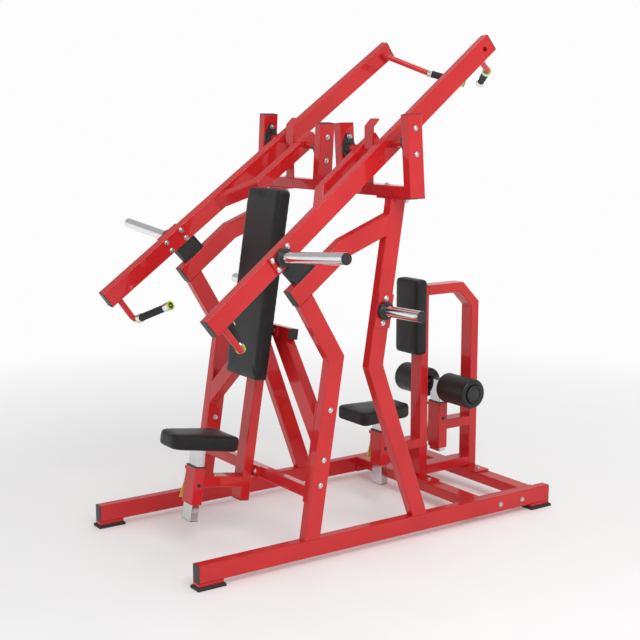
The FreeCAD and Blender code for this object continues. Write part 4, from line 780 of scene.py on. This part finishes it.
def post_plug(name, node, body, frame_of, at_top):
    """Black plug in the open end of a chrome post."""
    low, high = span(points_of(node), frame_of)
    tip, outwards = (high.z, 1) if at_top else (low.z, -1)
    into = frame_of.inverted()
    low, high = span([point for point in points_of(node) if abs((into @ point).z - tip) < ON_FACE], frame_of)
    levels = [(POST_WALL, tip - outwards * PLUG_DEEP), (0.0, tip), (0.0, tip + outwards * 0.6 * PLUG_PROUD),
              (PLUG_SOFT, tip + outwards * PLUG_PROUD)][::outwards]
    loop = rounded_outline(rectangle(low, high, POST_CORNER), 3)
    made = stacked(name, loop, levels, frame_of, MATERIALS["black_plastic"])
    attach(made, body)


def fittings():
    sleeve_buttons()
    post_plug("roller_post_plug", "roller_post", "knee_roller_post", UPRIGHT, True)
    post_plug("chest_seat_post_plug", "chest_seat_post", "chest_seat", LEANING, False)
    post_plug("pulldown_seat_post_plug", "pulldown_seat_post", "pulldown_seat", UPRIGHT, False)


fittings()


# --------------------------------------------------------------------------------------------------
# Floor, light and camera
# --------------------------------------------------------------------------------------------------
ROOM, BRIGHT = 0.48, 0.98           # light of the room overhead and of the backdrop all around
ROOM_FADE = (0.10, 0.30)            # heights of view, 0 level and 1 straight up, between backdrop and room
FLOOR_FADE = (1.6, 4.6)             # distances from the machine where the floor turns into the backdrop
FLOOR_REACH = 40.0
FLOOR_GLOW = 0.12


def studio():
    """Pale floor that fades into a bright backdrop, a dimmer room, and soft lamps from right and top."""
    world = bpy.data.worlds.new("studio")
    bpy.context.scene.world = world
    world.use_nodes = True
    tree = world.node_tree
    sky = tree.nodes["Background"]
    sky.inputs["Color"].default_value = (1.0, 1.0, 1.0, 1.0)
    height = tree.nodes.new("ShaderNodeSeparateXYZ")
    tree.links.new(tree.nodes.new("ShaderNodeTexCoord").outputs["Generated"], height.inputs[0])
    fade = tree.nodes.new("ShaderNodeMapRange")
    tree.links.new(height.outputs["Z"], fade.inputs["Value"])
    for socket, amount in zip(("From Min", "From Max", "To Min", "To Max"), (*ROOM_FADE, BRIGHT, ROOM)):
        fade.inputs[socket].default_value = amount
    tree.links.new(fade.outputs["Result"], sky.inputs["Strength"])
    corners = [Vector((x, y, 0)) * FLOOR_REACH for x, y in ((-1, -1), (1, -1), (1, 1), (-1, 1))]
    floor = piece("floor", corners, [[0, 1, 2, 3]], floor_finish())
    lamp("key", Vector((4.5, -1.2, 5.0)), size=4.0, power=185.0)
    lamp("top", Vector((-1.0, 2.0, 6.0)), size=5.0, power=70.0)


def floor_finish():
    shader = Shader("studio_floor", Specular_IOR_Level=0.2, Emission_Strength=FLOOR_GLOW)
    mottle = shader.noise(3.0)
    body = shader.mix(mottle, (0.86, 0.86, 0.86), (0.90, 0.90, 0.90))
    material = shader.finish(body, shader.ramp(mottle, 0.3, 0.7, 0.6, 0.7))
    length = shader.add("ShaderNodeVectorMath", operation="LENGTH")
    shader.feed(length.inputs[0], shader.place)
    far = shader.ramp(length.outputs["Value"], *FLOOR_FADE)
    glow = shader.add("ShaderNodeEmission")
    glow.inputs["Strength"].default_value = BRIGHT
    blend = shader.add("ShaderNodeMixShader")
    output = next(node for node in shader.tree.nodes if node.type == "OUTPUT_MATERIAL")
    shader.feed(blend.inputs[0], far)
    shader.tree.links.new(shader.surface.outputs[0], blend.inputs[1])
    shader.tree.links.new(glow.outputs[0], blend.inputs[2])
    shader.tree.links.new(blend.outputs[0], output.inputs["Surface"])
    return material


def lamp(name, spot, size, power):
    light = bpy.data.lights.new(name, "AREA")
    light.size = size
    light.energy = power
    made = bpy.data.objects.new(name, light)
    made.location = spot
    made.rotation_euler = (Vector((0, 0, 1.0)) - spot).to_track_quat("-Z", "Y").to_euler()
    bpy.context.scene.collection.objects.link(made)


CAMERA_SPOT = (4.7878, -3.3518, 1.9510)
CAMERA_AZIMUTH, CAMERA_ELEVATION = 55.39, 9.53      # degrees
CAMERA_LENS, CAMERA_SENSOR = 69.87, 36.0            # millimetres


def camera():
    """Eye level view from the chest press end's right corner."""
    azimuth, elevation = math.radians(CAMERA_AZIMUTH), math.radians(CAMERA_ELEVATION)
    back = Vector((math.sin(azimuth) * math.cos(elevation), -math.cos(azimuth) * math.cos(elevation),
                   math.sin(elevation)))
    data = bpy.data.cameras.new("camera")
    data.sensor_width = CAMERA_SENSOR
    data.lens = CAMERA_LENS
    made = bpy.data.objects.new("camera", data)
    made.location = CAMERA_SPOT
    made.rotation_euler = (-back).to_track_quat("-Z", "Y").to_euler()
    bpy.context.scene.collection.objects.link(made)
    bpy.context.scene.camera = made


studio()
camera()
bpy.context.scene.view_settings.view_transform = "Standard"
